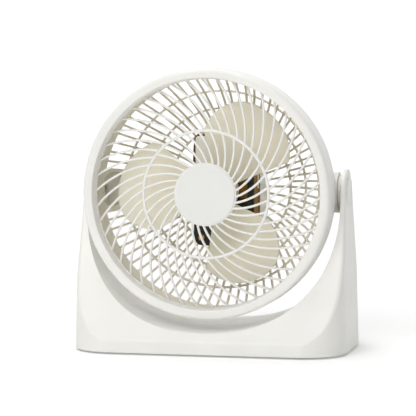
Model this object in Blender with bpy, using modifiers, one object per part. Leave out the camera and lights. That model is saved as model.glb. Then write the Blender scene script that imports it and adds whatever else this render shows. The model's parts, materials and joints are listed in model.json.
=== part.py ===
"""Table air-circulator fan: a round drum head with a spiral guard, tilting between the two
arms of a U-shaped cradle base.  Units are metres; +Z is up and the fan faces -Y.
The head is modelled about its tilt axis, which runs along X through PIVOT_HEIGHT."""

import math

import bmesh
import bpy
from mathutils import Vector

MM = 0.001
GAP = 0.3 * MM  # air left between neighbouring pieces

# Base
BASE_HALF_WIDTH = 135.0 * MM
ARM_LEAN = 0.029  # how much the outer sides lean in, per unit of height
BASE_HALF_DEPTH = 79.0 * MM
PLAN_CORNER = 45.0 * MM
EDGE_ROUND = 4.5 * MM
SIDE_STEPS = 6
BAND_TOP = 14.0 * MM  # height of the upright band round the foot of the base
SHELL_BOTTOM = 2.0 * MM
SHELL_WALL = 2.6 * MM
HOLLOW_TOP = 98.0 * MM
PIVOT_HEIGHT = 155.0 * MM
ARM_TOP_RADIUS = 23.0 * MM
TROUGH_HALF_WIDTH = 126.0 * MM
TROUGH_TOP = 147.0 * MM
TROUGH_DEPTH = 125.0 * MM
TROUGH_POWER = 2.3

# Base hardware
COVER_THICKNESS = 2.5 * MM
COVER_LOW = SHELL_BOTTOM + 0.5 * MM
FOOT_RADIUS = 9.0 * MM
FOOT_X = 95.0 * MM
FOOT_Y = 55.0 * MM
COVER_SCREW_X = 62.0 * MM
COVER_SCREW_Y = 40.0 * MM
COVER_BOSS_RADIUS = 4.0 * MM
COVER_BOSS_TOP = 32.0 * MM

# Pivots, measured outward along X from the middle of the head
PIVOT_BOSS_RADIUS = 20.0 * MM
PIVOT_BOSS_FACE = 121.4 * MM
PIVOT_STEM_RADIUS = 5.0 * MM
PIVOT_CAP_RADIUS = 15.0 * MM
PIVOT_CAP_SEAT = 128.6 * MM
PIVOT_CAP_FACE = 131.2 * MM
PIVOT_STEM_END = 118.0 * MM
SCREW_SEAT = 115.6 * MM

# Head, with "ahead" measured forward from the tilt axis
GUARD_RADIUS = 111.8 * MM
GUARD_THICKNESS = 3.0 * MM
LOCK_SCREW_Y = -35.0 * MM
GUARD_EDGE_AHEAD = 46.5 * MM
GUARD_CENTRE_AHEAD = 58.0 * MM
BADGE_RADIUS = 29.6 * MM
BAR_WIDTH = 2.2 * MM
MID_RING_RADIUS = 61.5 * MM
MID_RING_WIDTH = 2.8 * MM
INNER_BARS = 32
OUTER_BARS = 46
SWEEP_RATE = 6.96  # degrees of sweep per millimetre of radius to the power 0.55
SWEEP_POWER = 0.55
INNER_START = -48.65  # degrees to where the first inner bar would meet the axis
OUTER_START = -70.2

# Rear guard
REAR_RINGS = (97.8 * MM, 80.2 * MM, 61.5 * MM)
REAR_RING_WIDTH = 2.2 * MM
REAR_BARS = 72
REAR_INNER_BARS = 36
REAR_PHASE = 0.5  # degrees from the first bar to the right-hand side
REAR_BAR_WIDTH = 2.3 * MM
REAR_RADIUS = 115.5 * MM
REAR_SLOT_OUTSIDE = 112.4 * MM
REAR_THICKNESS = 4.5 * MM
REAR_FLAT_STEP = 6.0 * MM  # how far inside the last ring the dome turns flat
REAR_INNER_RING_AHEAD = -62.0 * MM
REAR_DOME_SLOPE = 0.711
REAR_DOME_CURVE = 0.0131 / MM
PIVOT_SECTOR = 10.5  # degrees left solid each side of a pivot
PLATE_HALF_WIDTH = 35.0 * MM
PLATE_HALF_HEIGHT = 58.0 * MM
PLATE_POWER = 8  # the higher, the squarer the corners of the plate and the cover
CUP_LEFT = -26.0 * MM
CUP_RIGHT = 36.0 * MM
CUP_HALF_HEIGHT = 55.5 * MM
CUP_FRONT = -33.9 * MM
CUP_WALL = 2.4 * MM
CUP_LIP = 0.6 * MM
COLLAR_BACK = -68.6 * MM

# Impeller
BLADES = 3
BLADE_TIP = 95.5 * MM
BLADE_ROOT = 20.8 * MM
BLADE_START = 22.0  # degrees, leading edge of the first blade
BLADE_CREST = 62.0
BLADE_END = 96.0
BLADE_MIDDLE_AHEAD = 18.5 * MM
BLADE_RISE = 29.0 * MM
BLADE_THICKNESS = 2.0 * MM

# Motor, centred on the fan shaft
BEARING_OPENING = 9.5 * MM
BORE_RADIUS = 4.3 * MM
MOTOR_LEFT = -25.0 * MM
MOTOR_RIGHT = 35.4 * MM
CORE_HALF_HEIGHT = 36.0 * MM
BRACKET_HALF_HEIGHT = 55.0 * MM
MOTOR_SCREWS = tuple((x * MM, z * MM) for x in (-17.0, 25.0) for z in (-47.0, 47.0))
SCREW_COLUMN_RADIUS = 4.2 * MM
CORE_FRONT = -9.0 * MM
CORE_BACK = -29.0 * MM
LEAD_COVER_LEFT = -22.4 * MM
LEAD_COVER_RIGHT = -7.0 * MM
LEAD_COVER_BOTTOM = 22.0 * MM
LEAD_COVER_TOP = 53.5 * MM
LEAD_COVER_FRONT = 1.6 * MM
LEAD_COVER_BACK = -2.7 * MM
LEAD_COVER_WALL = 1.2 * MM

# Rear cover and speed knob
COVER_RIM_AHEAD = -68.9 * MM
COVER_BACK_AHEAD = -74.5 * MM
COVER_HALF_WIDTH = 35.6 * MM
COVER_HALF_HEIGHT = 58.0 * MM
COVER_WALL = 2.0 * MM
VENTS = 7
VENT_WIDTH = 2.4 * MM
VENT_LENGTH = 14.0 * MM
VENT_PITCH = 5.5 * MM
VENT_HEIGHT = 32.0 * MM
KNOB_RADIUS = 17.0 * MM
KNOB_FRONT_AHEAD = -75.0 * MM
KNOB_BACK_AHEAD = -82.5 * MM
GLAND_HEIGHT = -34.0 * MM

ALONG_FRONT = (math.pi / 2, 0.0, 0.0)  # local Z to -Y, local X to X, local Y to Z
ALONG_RIGHT = (0.0, math.pi / 2, 0.0)
ALONG_LEFT = (0.0, -math.pi / 2, 0.0)

WHITE = ("white_plastic", (0.86, 0.86, 0.83), 0.42, 0.0)
BADGE = ("badge_plastic", (0.80, 0.80, 0.77), 0.5, 0.0)
IVORY = ("ivory_plastic", (0.80, 0.77, 0.68), 0.35, 0.0)
RUBBER = ("black_rubber", (0.03, 0.03, 0.03), 0.8, 0.0)
STEEL = ("zinc_steel", (0.70, 0.70, 0.70), 0.3, 1.0)
BRASS = ("bearing_brass", (0.72, 0.55, 0.25), 0.35, 1.0)
COPPER = ("winding_copper", (0.60, 0.32, 0.10), 0.4, 1.0)
CORE = ("lamination_steel", (0.10, 0.09, 0.08), 0.5, 1.0)
BLACK = ("black_plate", (0.02, 0.02, 0.02), 0.45, 0.3)
NYLON = ("nylon", (0.75, 0.75, 0.72), 0.5, 0.0)


def clear_scene():
    for item in list(bpy.data.objects):
        bpy.data.objects.remove(item)


def collection(name):
    made = bpy.data.collections.new(name)
    bpy.context.scene.collection.children.link(made)
    return made


def material(name, look):
    kind, colour, roughness, metallic = look
    made = bpy.data.materials.new(name + "_" + kind)
    made.use_nodes = True
    shader = made.node_tree.nodes["Principled BSDF"]
    shader.inputs["Base Color"].default_value = (*colour, 1.0)
    shader.inputs["Roughness"].default_value = roughness
    shader.inputs["Metallic"].default_value = metallic
    return made


def place(obj, look, parent=None, location=(0, 0, 0), rotation=(0, 0, 0)):
    """Put a finished object in the part's collection, with its material and its place."""
    PARTS.objects.link(obj)
    obj.data.materials.append(material(obj.name, look))
    obj.parent = parent
    obj.location = location
    obj.rotation_euler = rotation
    return obj


def as_cutter(obj, parent=None, location=(0, 0, 0), rotation=(0, 0, 0)):
    CUTTERS.objects.link(obj)
    obj.parent = parent
    obj.location = location
    obj.rotation_euler = rotation
    obj.hide_render = True
    obj.display_type = "WIRE"
    return obj


def combine(obj, other, operation):
    step = obj.modifiers.new(operation.lower() + "_" + other.name, "BOOLEAN")
    step.operation = operation
    step.solver = "EXACT"
    step.object = other


def turned(name, profile, steps=48, closed=False):
    """A profile of (radius, height) swept round local Z, listed down its outer side."""
    mesh = bpy.data.meshes.new(name)
    points = [(radius, 0.0, height) for radius, height in profile]
    edges = [(i, i + 1) for i in range(len(points) - 1)]
    if closed:
        edges.append((len(points) - 1, 0))
    mesh.from_pydata(points, edges, [])
    obj = bpy.data.objects.new(name, mesh)
    screw = obj.modifiers.new("turn", "SCREW")
    screw.axis = "Z"
    screw.angle = math.tau
    screw.steps = steps
    screw.render_steps = steps
    screw.use_merge_vertices = True
    screw.merge_threshold = 0.00001
    screw.use_smooth_shade = True
    return obj


def rod(name, radius, low, high, steps=12):
    return turned(name, [(0, high), (radius, high), (radius, low), (0, low)], steps)


def tube(name, inside, outside, low, high, steps=18):
    profile = [(outside, high), (outside, low), (inside, low), (inside, high)]
    return turned(name, profile, steps, closed=True)


def box_mesh(name, low, high):
    bm = bmesh.new()
    bmesh.ops.create_cube(bm, size=1.0)
    for vert in bm.verts:
        for axis in range(3):
            middle = (low[axis] + high[axis]) / 2
            vert.co[axis] = middle + vert.co[axis] * (high[axis] - low[axis])
    mesh = bpy.data.meshes.new(name)
    bm.to_mesh(mesh)
    bm.free()
    return bpy.data.objects.new(name, mesh)


def loft(name, rings, closed=False):
    """A skin through rings of equal count, capped at its ends or closed on itself as a tube."""
    bm = bmesh.new()
    rows = [[bm.verts.new(point) for point in ring] for ring in rings]
    count = len(rows[0])
    if closed:
        rows.append(rows[0])
    for upper, lower in zip(rows, rows[1:]):
        for i in range(count):
            j = (i + 1) % count
            bm.faces.new((upper[i], lower[i], lower[j], upper[j]))
    if not closed:
        bm.faces.new(rows[0])
        bm.faces.new(list(reversed(rows[-1])))
    bmesh.ops.recalc_face_normals(bm, faces=bm.faces)
    mesh = bpy.data.meshes.new(name)
    bm.to_mesh(mesh)
    bm.free()
    return bpy.data.objects.new(name, mesh)


def plate(name, outlines, thickness, dome=None):
    """A flat plate from an outline and its holes; dome moves each point along local Z."""
    curve = bpy.data.curves.new(name + "_outline", "CURVE")
    curve.dimensions = "2D"
    curve.fill_mode = "BOTH"
    curve.extrude = thickness / 2
    for outline in outlines:
        spline = curve.splines.new("POLY")
        spline.points.add(len(outline) - 1)
        spline.use_cyclic_u = True
        for point, (x, y) in zip(spline.points, outline):
            point.co = (x, y, 0.0, 1.0)
    flat = bpy.data.objects.new(name + "_outline", curve)
    bpy.context.scene.collection.objects.link(flat)
    bpy.context.view_layer.update()
    evaluated = flat.evaluated_get(bpy.context.evaluated_depsgraph_get())
    mesh = bpy.data.meshes.new_from_object(evaluated)
    mesh.name = name
    bpy.data.objects.remove(flat)
    bpy.data.curves.remove(curve)
    bm = bmesh.new()
    bm.from_mesh(mesh)
    bmesh.ops.remove_doubles(bm, verts=bm.verts, dist=0.000001)
    if dome:
        for vert in bm.verts:
            vert.co.z += dome(math.hypot(vert.co.x, vert.co.y))
    bmesh.ops.recalc_face_normals(bm, faces=bm.faces)
    bm.to_mesh(mesh)
    bm.free()
    return bpy.data.objects.new(name, mesh)


def circle(radius, count, centre=(0.0, 0.0)):
    turns = [math.tau * i / count for i in range(count)]
    return [(centre[0] + radius * math.cos(a), centre[1] + radius * math.sin(a)) for a in turns]


def polar(radius, angle):
    return (radius * math.cos(angle), radius * math.sin(angle))


def rectangle(left, right, low, high):
    return [(left, low), (right, low), (right, high), (left, high)]


def rounded_rectangle(left, right, low, high, corner, steps=4):
    points = []
    for cx, cy, start in (
        (right - corner, high - corner, 0.0),
        (left + corner, high - corner, 90.0),
        (left + corner, low + corner, 180.0),
        (right - corner, low + corner, 270.0),
    ):
        for i in range(steps + 1):
            angle = math.radians(start + 90.0 * i / steps)
            points.append((cx + corner * math.cos(angle), cy + corner * math.sin(angle)))
    return points


# ---------------------------------------------------------------- base


def side_half_depth(height):
    """Half of the base's depth: a band, a hollow sweep up to the arm, then a round top."""
    if height <= BAND_TOP:
        return BASE_HALF_DEPTH - 1.0 * MM * max(height, 0.0) / BAND_TOP
    if height >= PIVOT_HEIGHT:
        rise = min(height - PIVOT_HEIGHT, ARM_TOP_RADIUS)
        return math.sqrt(ARM_TOP_RADIUS**2 - rise**2)
    start = Vector((BASE_HALF_DEPTH - 1.0 * MM, BAND_TOP))
    bend = Vector((36.5 * MM, 75.5 * MM))
    end = Vector((ARM_TOP_RADIUS, PIVOT_HEIGHT))
    low, high = 0.0, 1.0
    for _ in range(40):
        t = (low + high) / 2
        point = start * (1 - t) ** 2 + bend * 2 * t * (1 - t) + end * t**2
        if point.y < height:
            low = t
        else:
            high = t
    return point.x


def base_section(height, inset=0.0):
    """The base's outline at one height: a rounded plan cut off front and back."""
    half_width = BASE_HALF_WIDTH - ARM_LEAN * height - inset
    half_depth = max(side_half_depth(height) - inset, 1.5 * MM)
    corner = PLAN_CORNER - inset
    corner_x = half_width - corner
    corner_y = BASE_HALF_DEPTH - inset - corner
    edge = min(EDGE_ROUND, half_depth * 0.8)
    edge_y = half_depth - edge
    if edge_y > corner_y:
        edge_x = corner_x + math.sqrt((corner - edge) ** 2 - (edge_y - corner_y) ** 2)
        join = math.atan2(edge_y - corner_y, edge_x - corner_x)
    else:
        edge_x = half_width - edge
        join = 0.0
    straight = min(edge_y, corner_y)
    path = straight / 2 + corner * join
    quadrant = []
    for i in range(SIDE_STEPS + 1):
        along = straight / 2 + path * i / SIDE_STEPS
        if along <= straight:
            quadrant.append((half_width, along))
        else:
            angle = (along - straight) / corner
            quadrant.append((corner_x + corner * math.cos(angle), corner_y + corner * math.sin(angle)))
    for i in range(1, 3):
        angle = join + (math.pi / 2 - join) * i / 2
        quadrant.append((edge_x + edge * math.cos(angle), edge_y + edge * math.sin(angle)))
    mirrored = [(-x, y) for x, y in reversed(quadrant)]
    upper = quadrant + mirrored
    return upper + [(-x, -y) for x, y in upper]


def base_rings(heights, inset=0.0):
    return [[(x, y, z) for x, y in base_section(z, inset)] for z in heights]


def trough_outline(grow=0.0):
    """The U between the arms, in X and Z, wider by grow all round."""
    points = []
    steps = 26
    for i in range(steps + 1):
        angle = math.pi * (1 + i / steps)
        x = math.copysign(abs(math.cos(angle)) ** (2 / TROUGH_POWER), math.cos(angle))
        z = abs(math.sin(angle)) ** (2 / TROUGH_POWER)
        points.append(((TROUGH_HALF_WIDTH + grow) * x, TROUGH_TOP - (TROUGH_DEPTH + grow) * z))
    points.append((TROUGH_HALF_WIDTH + grow, 220 * MM))
    points.append((-TROUGH_HALF_WIDTH - grow, 220 * MM))
    return points


def trough_cutter(name, grow=0.0):
    return as_cutter(plate(name, [trough_outline(grow)], 200 * MM), rotation=ALONG_FRONT)


def hollow_heights():
    upper = [HOLLOW_TOP, 70 * MM, 48 * MM, 32 * MM, 22 * MM, BAND_TOP]
    return upper + [COVER_LOW + COVER_THICKNESS, COVER_LOW, -5 * MM]


def build_base():
    round_top = [
        PIVOT_HEIGHT + ARM_TOP_RADIUS * math.sin(math.radians(a)) for a in (85, 65, 45, 22)
    ]
    heights = round_top + [z * MM for z in (155, 128, 104, 84, 68, 55, 43, 33, 24, 18, 14)]
    shell = loft("base_shell", base_rings(heights + [5 * MM, SHELL_BOTTOM]))
    place(shell, WHITE)
    hollow = as_cutter(loft("base_hollow", base_rings(hollow_heights(), SHELL_WALL)))
    combine(hollow, trough_cutter("trough_wall", SHELL_WALL), "DIFFERENCE")
    combine(shell, hollow, "DIFFERENCE")
    combine(shell, trough_cutter("trough"), "DIFFERENCE")
    for side, turn in ((1, ALONG_RIGHT), (-1, ALONG_LEFT)):
        name = "arm_hole_%d" % side
        wide = PIVOT_CAP_RADIUS + GAP
        narrow = PIVOT_STEM_RADIUS + GAP
        seat = PIVOT_CAP_SEAT - GAP
        steps = [(0, 140 * MM), (wide, 140 * MM), (wide, seat)]
        steps += [(narrow, seat), (narrow, 110 * MM), (0, 110 * MM)]
        hole = as_cutter(turned(name, steps, 20), location=(0, 0, PIVOT_HEIGHT), rotation=turn)
        combine(shell, hole, "DIFFERENCE")
    build_base_bosses(shell)
    build_bottom_cover()


def base_screw_places():
    return [(x * COVER_SCREW_X, y * COVER_SCREW_Y) for x in (-1, 1) for y in (-1, 1)]


def build_base_bosses(shell):
    seat = COVER_LOW + COVER_THICKNESS + GAP
    for i, (x, y) in enumerate(base_screw_places()):
        boss = rod("cover_boss_%d" % i, COVER_BOSS_RADIUS, seat, COVER_BOSS_TOP, 8)
        combine(shell, as_cutter(boss, location=(x, y, 0)), "UNION")
        bore = rod("cover_bore_%d" % i, 1.6 * MM, 0, seat + 10 * MM, 8)
        combine(shell, as_cutter(bore, location=(x, y, 0)), "DIFFERENCE")


def build_bottom_cover():
    low = COVER_LOW
    high = low + COVER_THICKNESS
    rings = base_rings([high, low], SHELL_WALL + GAP)
    cover = place(loft("base_bottom_cover", rings), WHITE)
    for i, (x, y) in enumerate(base_screw_places()):
        sink = low + 1.4 * MM
        hole = [(0, high + MM), (1.8 * MM, high + MM), (1.8 * MM, sink)]
        hole += [(3.9 * MM, sink), (3.9 * MM, low - MM), (0, low - MM)]
        combine(cover, as_cutter(turned("cover_hole_%d" % i, hole, 8), location=(x, y, 0)), "DIFFERENCE")
        head = sink - GAP
        screw = [(0, high + 8 * MM), (1.3 * MM, high + 8 * MM), (1.3 * MM, head)]
        screw += [(3.5 * MM, head), (3.5 * MM, low), (0, low)]
        place(turned("base_cover_screw_%d" % (i + 1), screw, 8), STEEL, location=(x, y, 0))
    for i, (x, y) in enumerate([(x * FOOT_X, y * FOOT_Y) for x in (-1, 1) for y in (-1, 1)]):
        foot = [(0, low - GAP), (FOOT_RADIUS, low - GAP), (FOOT_RADIUS, 0.8 * MM)]
        foot += [(FOOT_RADIUS - 0.8 * MM, 0), (0, 0)]
        place(turned("rubber_foot_%d" % (i + 1), foot, 14), RUBBER, location=(x, y, 0))


# ---------------------------------------------------------------- pivots


def build_pivots():
    for side, turn, label in ((1, ALONG_RIGHT, "right"), (-1, ALONG_LEFT, "left")):
        cap = [(0, PIVOT_CAP_FACE), (PIVOT_CAP_RADIUS - 0.8 * MM, PIVOT_CAP_FACE)]
        cap += [(PIVOT_CAP_RADIUS, PIVOT_CAP_FACE - 0.8 * MM), (PIVOT_CAP_RADIUS, PIVOT_CAP_SEAT)]
        cap += [(PIVOT_STEM_RADIUS, PIVOT_CAP_SEAT), (PIVOT_STEM_RADIUS, PIVOT_STEM_END)]
        cap += [(2.1 * MM, PIVOT_STEM_END), (2.1 * MM, PIVOT_CAP_SEAT - MM), (0, PIVOT_CAP_SEAT - MM)]
        axis = (0, 0, PIVOT_HEIGHT)
        place(turned("pivot_cap_" + label, cap, 20), WHITE, location=axis, rotation=turn)
        bush = tube(
            "friction_bush_" + label, PIVOT_STEM_RADIUS + GAP, PIVOT_BOSS_RADIUS - 3 * MM,
            PIVOT_BOSS_FACE + GAP, TROUGH_HALF_WIDTH - 1.2 * MM,
        )
        place(bush, NYLON, location=axis, rotation=turn)
        inner = SCREW_SEAT - 1.3 * MM
        washer = tube("pivot_washer_" + label, 2.3 * MM, 6.5 * MM, inner, SCREW_SEAT - GAP, 14)
        place(washer, STEEL, HEAD, rotation=turn)
        tip = PIVOT_CAP_SEAT - 3 * MM
        under = inner - GAP
        crown = under - 2.2 * MM
        screw = [(0, tip), (1.8 * MM, tip), (1.8 * MM, under), (4.0 * MM, under)]
        screw += [(4.0 * MM, under - 1.4 * MM), (2.6 * MM, crown), (0, crown)]
        place(turned("pivot_screw_" + label, screw, 10), STEEL, HEAD, rotation=turn)


# ---------------------------------------------------------------- front guard


def guard_dome(radius):
    """How far ahead the middle of the front guard's bars is at a radius."""
    share = max(radius - BADGE_RADIUS, 0.0) / (GUARD_RADIUS - BADGE_RADIUS)
    return GUARD_EDGE_AHEAD + (GUARD_CENTRE_AHEAD - GUARD_EDGE_AHEAD) * (1 - share**2)


def sweep(radius):
    """Angle through which a front bar has curled, anticlockwise, at a radius."""
    return math.radians(SWEEP_RATE * (radius / MM) ** SWEEP_POWER)


def bar_half_angle(radius, width):
    slope = SWEEP_POWER * sweep(radius)
    return width / 2 * math.hypot(1.0, slope) / radius


def swept_slot(index, count, inside, outside, phase, steps):
    """The gap between two neighbouring swept bars."""
    pitch = math.tau / count
    radii = [inside + (outside - inside) * i / steps for i in range(steps + 1)]
    first, second = [], []
    for radius in radii:
        centre = phase + index * pitch + sweep(radius)
        half = bar_half_angle(radius, BAR_WIDTH)
        first.append(polar(radius, centre + half))
        second.append(polar(radius, centre + pitch - half))
    return first + list(reversed(second))


def build_front_guard():
    ring_in = MID_RING_RADIUS - MID_RING_WIDTH / 2
    ring_out = MID_RING_RADIUS + MID_RING_WIDTH / 2
    outlines = [circle(GUARD_RADIUS, 46)]
    start = math.radians(INNER_START)
    for i in range(INNER_BARS):
        outlines.append(swept_slot(i, INNER_BARS, BADGE_RADIUS + 1.2 * MM, ring_in, start, 2))
    start = math.radians(OUTER_START)
    for i in range(OUTER_BARS):
        outlines.append(swept_slot(i, OUTER_BARS, ring_out, 109.6 * MM, start, 4))
    guard = plate("front_grille", outlines, GUARD_THICKNESS, guard_dome)
    place(guard, WHITE, HEAD, rotation=ALONG_FRONT)
    profile = [(115.5, 61.3), (118.9, 60.0), (121.2, 55.5), (121.7, 46.0), (121.7, 27.3)]
    profile += [(119.4, 27.3), (119.3, 52.6), (116.0, 58.4), (113.6, 56.0), (113.0, 45.0)]
    profile += [(110.8, 45.0), (111.1, 57.5), (112.7, 60.8)]
    scaled = [(radius * MM, ahead * MM) for radius, ahead in profile]
    bezel = as_cutter(turned("bezel", scaled, 56, closed=True), HEAD, rotation=ALONG_FRONT)
    combine(guard, bezel, "UNION")
    cut = rod("lock_hole", 1.6 * MM, -130 * MM, -110 * MM, 10)
    cut = as_cutter(cut, HEAD, location=(0, LOCK_SCREW_Y, 0))
    combine(guard, cut, "DIFFERENCE")
    disc = [(0, 61.0), (26.5, 61.0), (28.6, 60.6), (29.6, 59.9), (29.6, 59.8), (0, 59.8)]
    disc = [(radius * MM, ahead * MM) for radius, ahead in disc]
    place(turned("centre_badge", disc, 32), BADGE, HEAD, rotation=ALONG_FRONT)
    head = [(0, -113.5 * MM), (1.3 * MM, -113.5 * MM), (1.3 * MM, -122.0 * MM), (2.8 * MM, -122.0 * MM)]
    head += [(2.8 * MM, -123.2 * MM), (0, -123.2 * MM)]
    place(turned("grille_lock_screw", head, 12), STEEL, HEAD, location=(0, LOCK_SCREW_Y, 0))


# ---------------------------------------------------------------- drum and rear guard


def rear_dome(radius):
    """How far ahead the middle of the rear guard is at a radius: a deep dome, flat in the middle."""
    out = max(radius - REAR_RINGS[-1], -REAR_FLAT_STEP)
    return REAR_INNER_RING_AHEAD + REAR_DOME_SLOPE * out + REAR_DOME_CURVE * out**2


def plate_edge(angle, half_width=PLATE_HALF_WIDTH, half_height=PLATE_HALF_HEIGHT):
    """Distance from the middle to the edge of a squarish oval at an angle."""
    across = abs(math.cos(angle) / half_width) ** PLATE_POWER
    return (across + abs(math.sin(angle) / half_height) ** PLATE_POWER) ** (-1 / PLATE_POWER)


def straight_slot(middle, pitch, inside, outside):
    points = []
    for radius, side in ((inside, -1), (outside, -1), (outside, 1), (inside, 1)):
        half = pitch / 2 - REAR_BAR_WIDTH / 2 / radius
        points.append(polar(radius, middle + side * half))
    return points


def slot_middles(count):
    """Angles of the middles of the gaps between rear bars."""
    pitch = 360.0 / count
    return [math.radians(REAR_PHASE + (i + 0.5) * pitch) for i in range(count)]


def near_pivot(angle):
    return abs(math.sin(angle)) < math.sin(math.radians(PIVOT_SECTOR))


def rear_guard_outlines():
    """The guard's outer edge, the slots between its bars, and the mouth of the motor cup."""
    half = REAR_RING_WIDTH / 2
    outlines = [circle(REAR_RADIUS, 72)]
    edges = [REAR_SLOT_OUTSIDE + half] + list(REAR_RINGS)
    for outer, inner in zip(edges, edges[1:]):
        for middle in slot_middles(REAR_BARS):
            if inner == REAR_RINGS[0] and near_pivot(middle):
                continue
            outlines.append(straight_slot(middle, math.tau / REAR_BARS, inner + half, outer - half))
    for middle in slot_middles(REAR_INNER_BARS):
        inside = plate_edge(middle) + 1.5 * MM
        if inside < REAR_RINGS[-1] - half - 3 * MM:
            pitch = math.tau / REAR_INNER_BARS
            outlines.append(straight_slot(middle, pitch, inside, REAR_RINGS[-1] - half))
    outlines.append(cup_outline(CUP_WALL + CUP_LIP))
    return outlines


def cup_outline(inset):
    """Outline of the cup behind the motor, drawn in by inset."""
    high = CUP_HALF_HEIGHT - inset
    return rounded_rectangle(CUP_LEFT + inset, CUP_RIGHT - inset, -high, high, 9 * MM - inset)


def build_rear_housing():
    housing = plate("rear_housing", rear_guard_outlines(), REAR_THICKNESS, rear_dome)
    place(housing, WHITE, HEAD, rotation=ALONG_FRONT)
    profile = [(118.9, 44.0), (118.9, 26.8), (118.5, 18.0), (117.4, 12.5), (115.4, 8.7), (112.8, 7.2)]
    profile += [(112.8, 12.9), (114.0, 16.0), (115.7, 20.5), (116.6, 26.8), (116.6, 44.0)]
    scaled = [(radius * MM, ahead * MM) for radius, ahead in profile]
    drum = as_cutter(turned("drum_wall", scaled, 56, closed=True), HEAD, rotation=ALONG_FRONT)
    combine(housing, drum, "UNION")
    for side, turn in ((1, ALONG_RIGHT), (-1, ALONG_LEFT)):
        add_pivot_boss(housing, side, turn)
    add_motor_cup(housing)
    hole = rod("drum_lock_hole", 1.7 * MM, -130 * MM, -110 * MM, 10)
    combine(housing, as_cutter(hole, HEAD, location=(0, LOCK_SCREW_Y, 0)), "DIFFERENCE")


def add_pivot_boss(housing, side, turn):
    """A hollow boss that stands out from the dome and carries one pivot."""
    boss = rod("pivot_boss_%d" % side, PIVOT_BOSS_RADIUS, 90 * MM, PIVOT_BOSS_FACE, 24)
    boss = as_cutter(boss, HEAD, rotation=turn)
    dome = [(0, 60.0), (117.8, 60.0), (117.8, 22.0), (116.2, 17.0), (114.0, 12.4), (110.6, 5.2)]
    dome += [(105.0, -5.3), (97.8, -18.6), (90.0, -29.0), (0, -29.0)]
    scaled = [(radius * MM, ahead * MM) for radius, ahead in dome]
    inside = as_cutter(turned("dome_inside_%d" % side, scaled, 64), HEAD, rotation=ALONG_FRONT)
    combine(boss, inside, "DIFFERENCE")
    combine(housing, boss, "UNION")
    pocket = rod("pivot_pocket_%d" % side, PIVOT_BOSS_RADIUS - 3.5 * MM, 80 * MM, SCREW_SEAT - 0.4 * MM, 24)
    combine(housing, as_cutter(pocket, HEAD, rotation=turn), "DIFFERENCE")
    end = 117.6 * MM
    bore = [(0, 130 * MM), (PIVOT_STEM_RADIUS + GAP, 130 * MM), (PIVOT_STEM_RADIUS + GAP, end)]
    bore += [(2.4 * MM, end), (2.4 * MM, SCREW_SEAT), (8 * MM, SCREW_SEAT)]
    bore += [(8 * MM, 108 * MM), (0, 108 * MM)]
    combine(housing, as_cutter(turned("pivot_bore_%d" % side, bore, 16), HEAD, rotation=turn), "DIFFERENCE")


def add_motor_cup(housing):
    """The cup that reaches forward to the motor, its screw columns, and the collar for the cover."""
    back = COLLAR_BACK + 1.5 * MM
    middle = (CUP_FRONT + back) / 2
    cup = plate("motor_cup", [cup_outline(0.0)], CUP_FRONT - back, lambda radius: middle)
    cup = as_cutter(cup, HEAD, rotation=ALONG_FRONT)
    floor = CUP_FRONT - CUP_WALL
    low = back - 4 * MM
    middle_inside = (floor + low) / 2
    inside = plate("cup_inside", [cup_outline(CUP_WALL)], floor - low, lambda radius: middle_inside)
    combine(cup, as_cutter(inside, HEAD, rotation=ALONG_FRONT), "DIFFERENCE")
    combine(housing, cup, "UNION")
    for i, (x, z) in enumerate(MOTOR_SCREWS):
        column = rod("screw_column_%d" % i, SCREW_COLUMN_RADIUS, back - MM, floor + MM, 10)
        combine(housing, as_cutter(column, HEAD, (x, 0, z), ALONG_FRONT), "UNION")
        bore = rod("screw_bore_%d" % i, 1.9 * MM, back - 3 * MM, CUP_FRONT + 3 * MM, 8)
        combine(housing, as_cutter(bore, HEAD, (x, 0, z), ALONG_FRONT), "DIFFERENCE")
    opening = rod("bearing_opening", BEARING_OPENING, floor - 3 * MM, CUP_FRONT + 3 * MM, 14)
    combine(housing, as_cutter(opening, HEAD, rotation=ALONG_FRONT), "DIFFERENCE")
    front = -65.0 * MM
    wall = 2.4 * MM
    rings = [cover_ring(COLLAR_BACK, wall), cover_ring(front, wall), cover_ring(front, 0.0)]
    rings.append(cover_ring(COLLAR_BACK, 0.0))
    collar = loft("cover_collar", rings, closed=True)
    combine(housing, as_cutter(collar, HEAD, rotation=ALONG_FRONT), "UNION")


# ---------------------------------------------------------------- impeller


def blade_tip(degrees):
    """The blade's outer edge: longest at the crest, cut back more at the leading side."""
    if degrees < BLADE_CREST:
        return BLADE_TIP - 18 * MM * ((BLADE_CREST - degrees) / 40) ** 2.2
    return BLADE_TIP - 20 * MM * ((degrees - BLADE_CREST) / 27) ** 2.2


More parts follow.
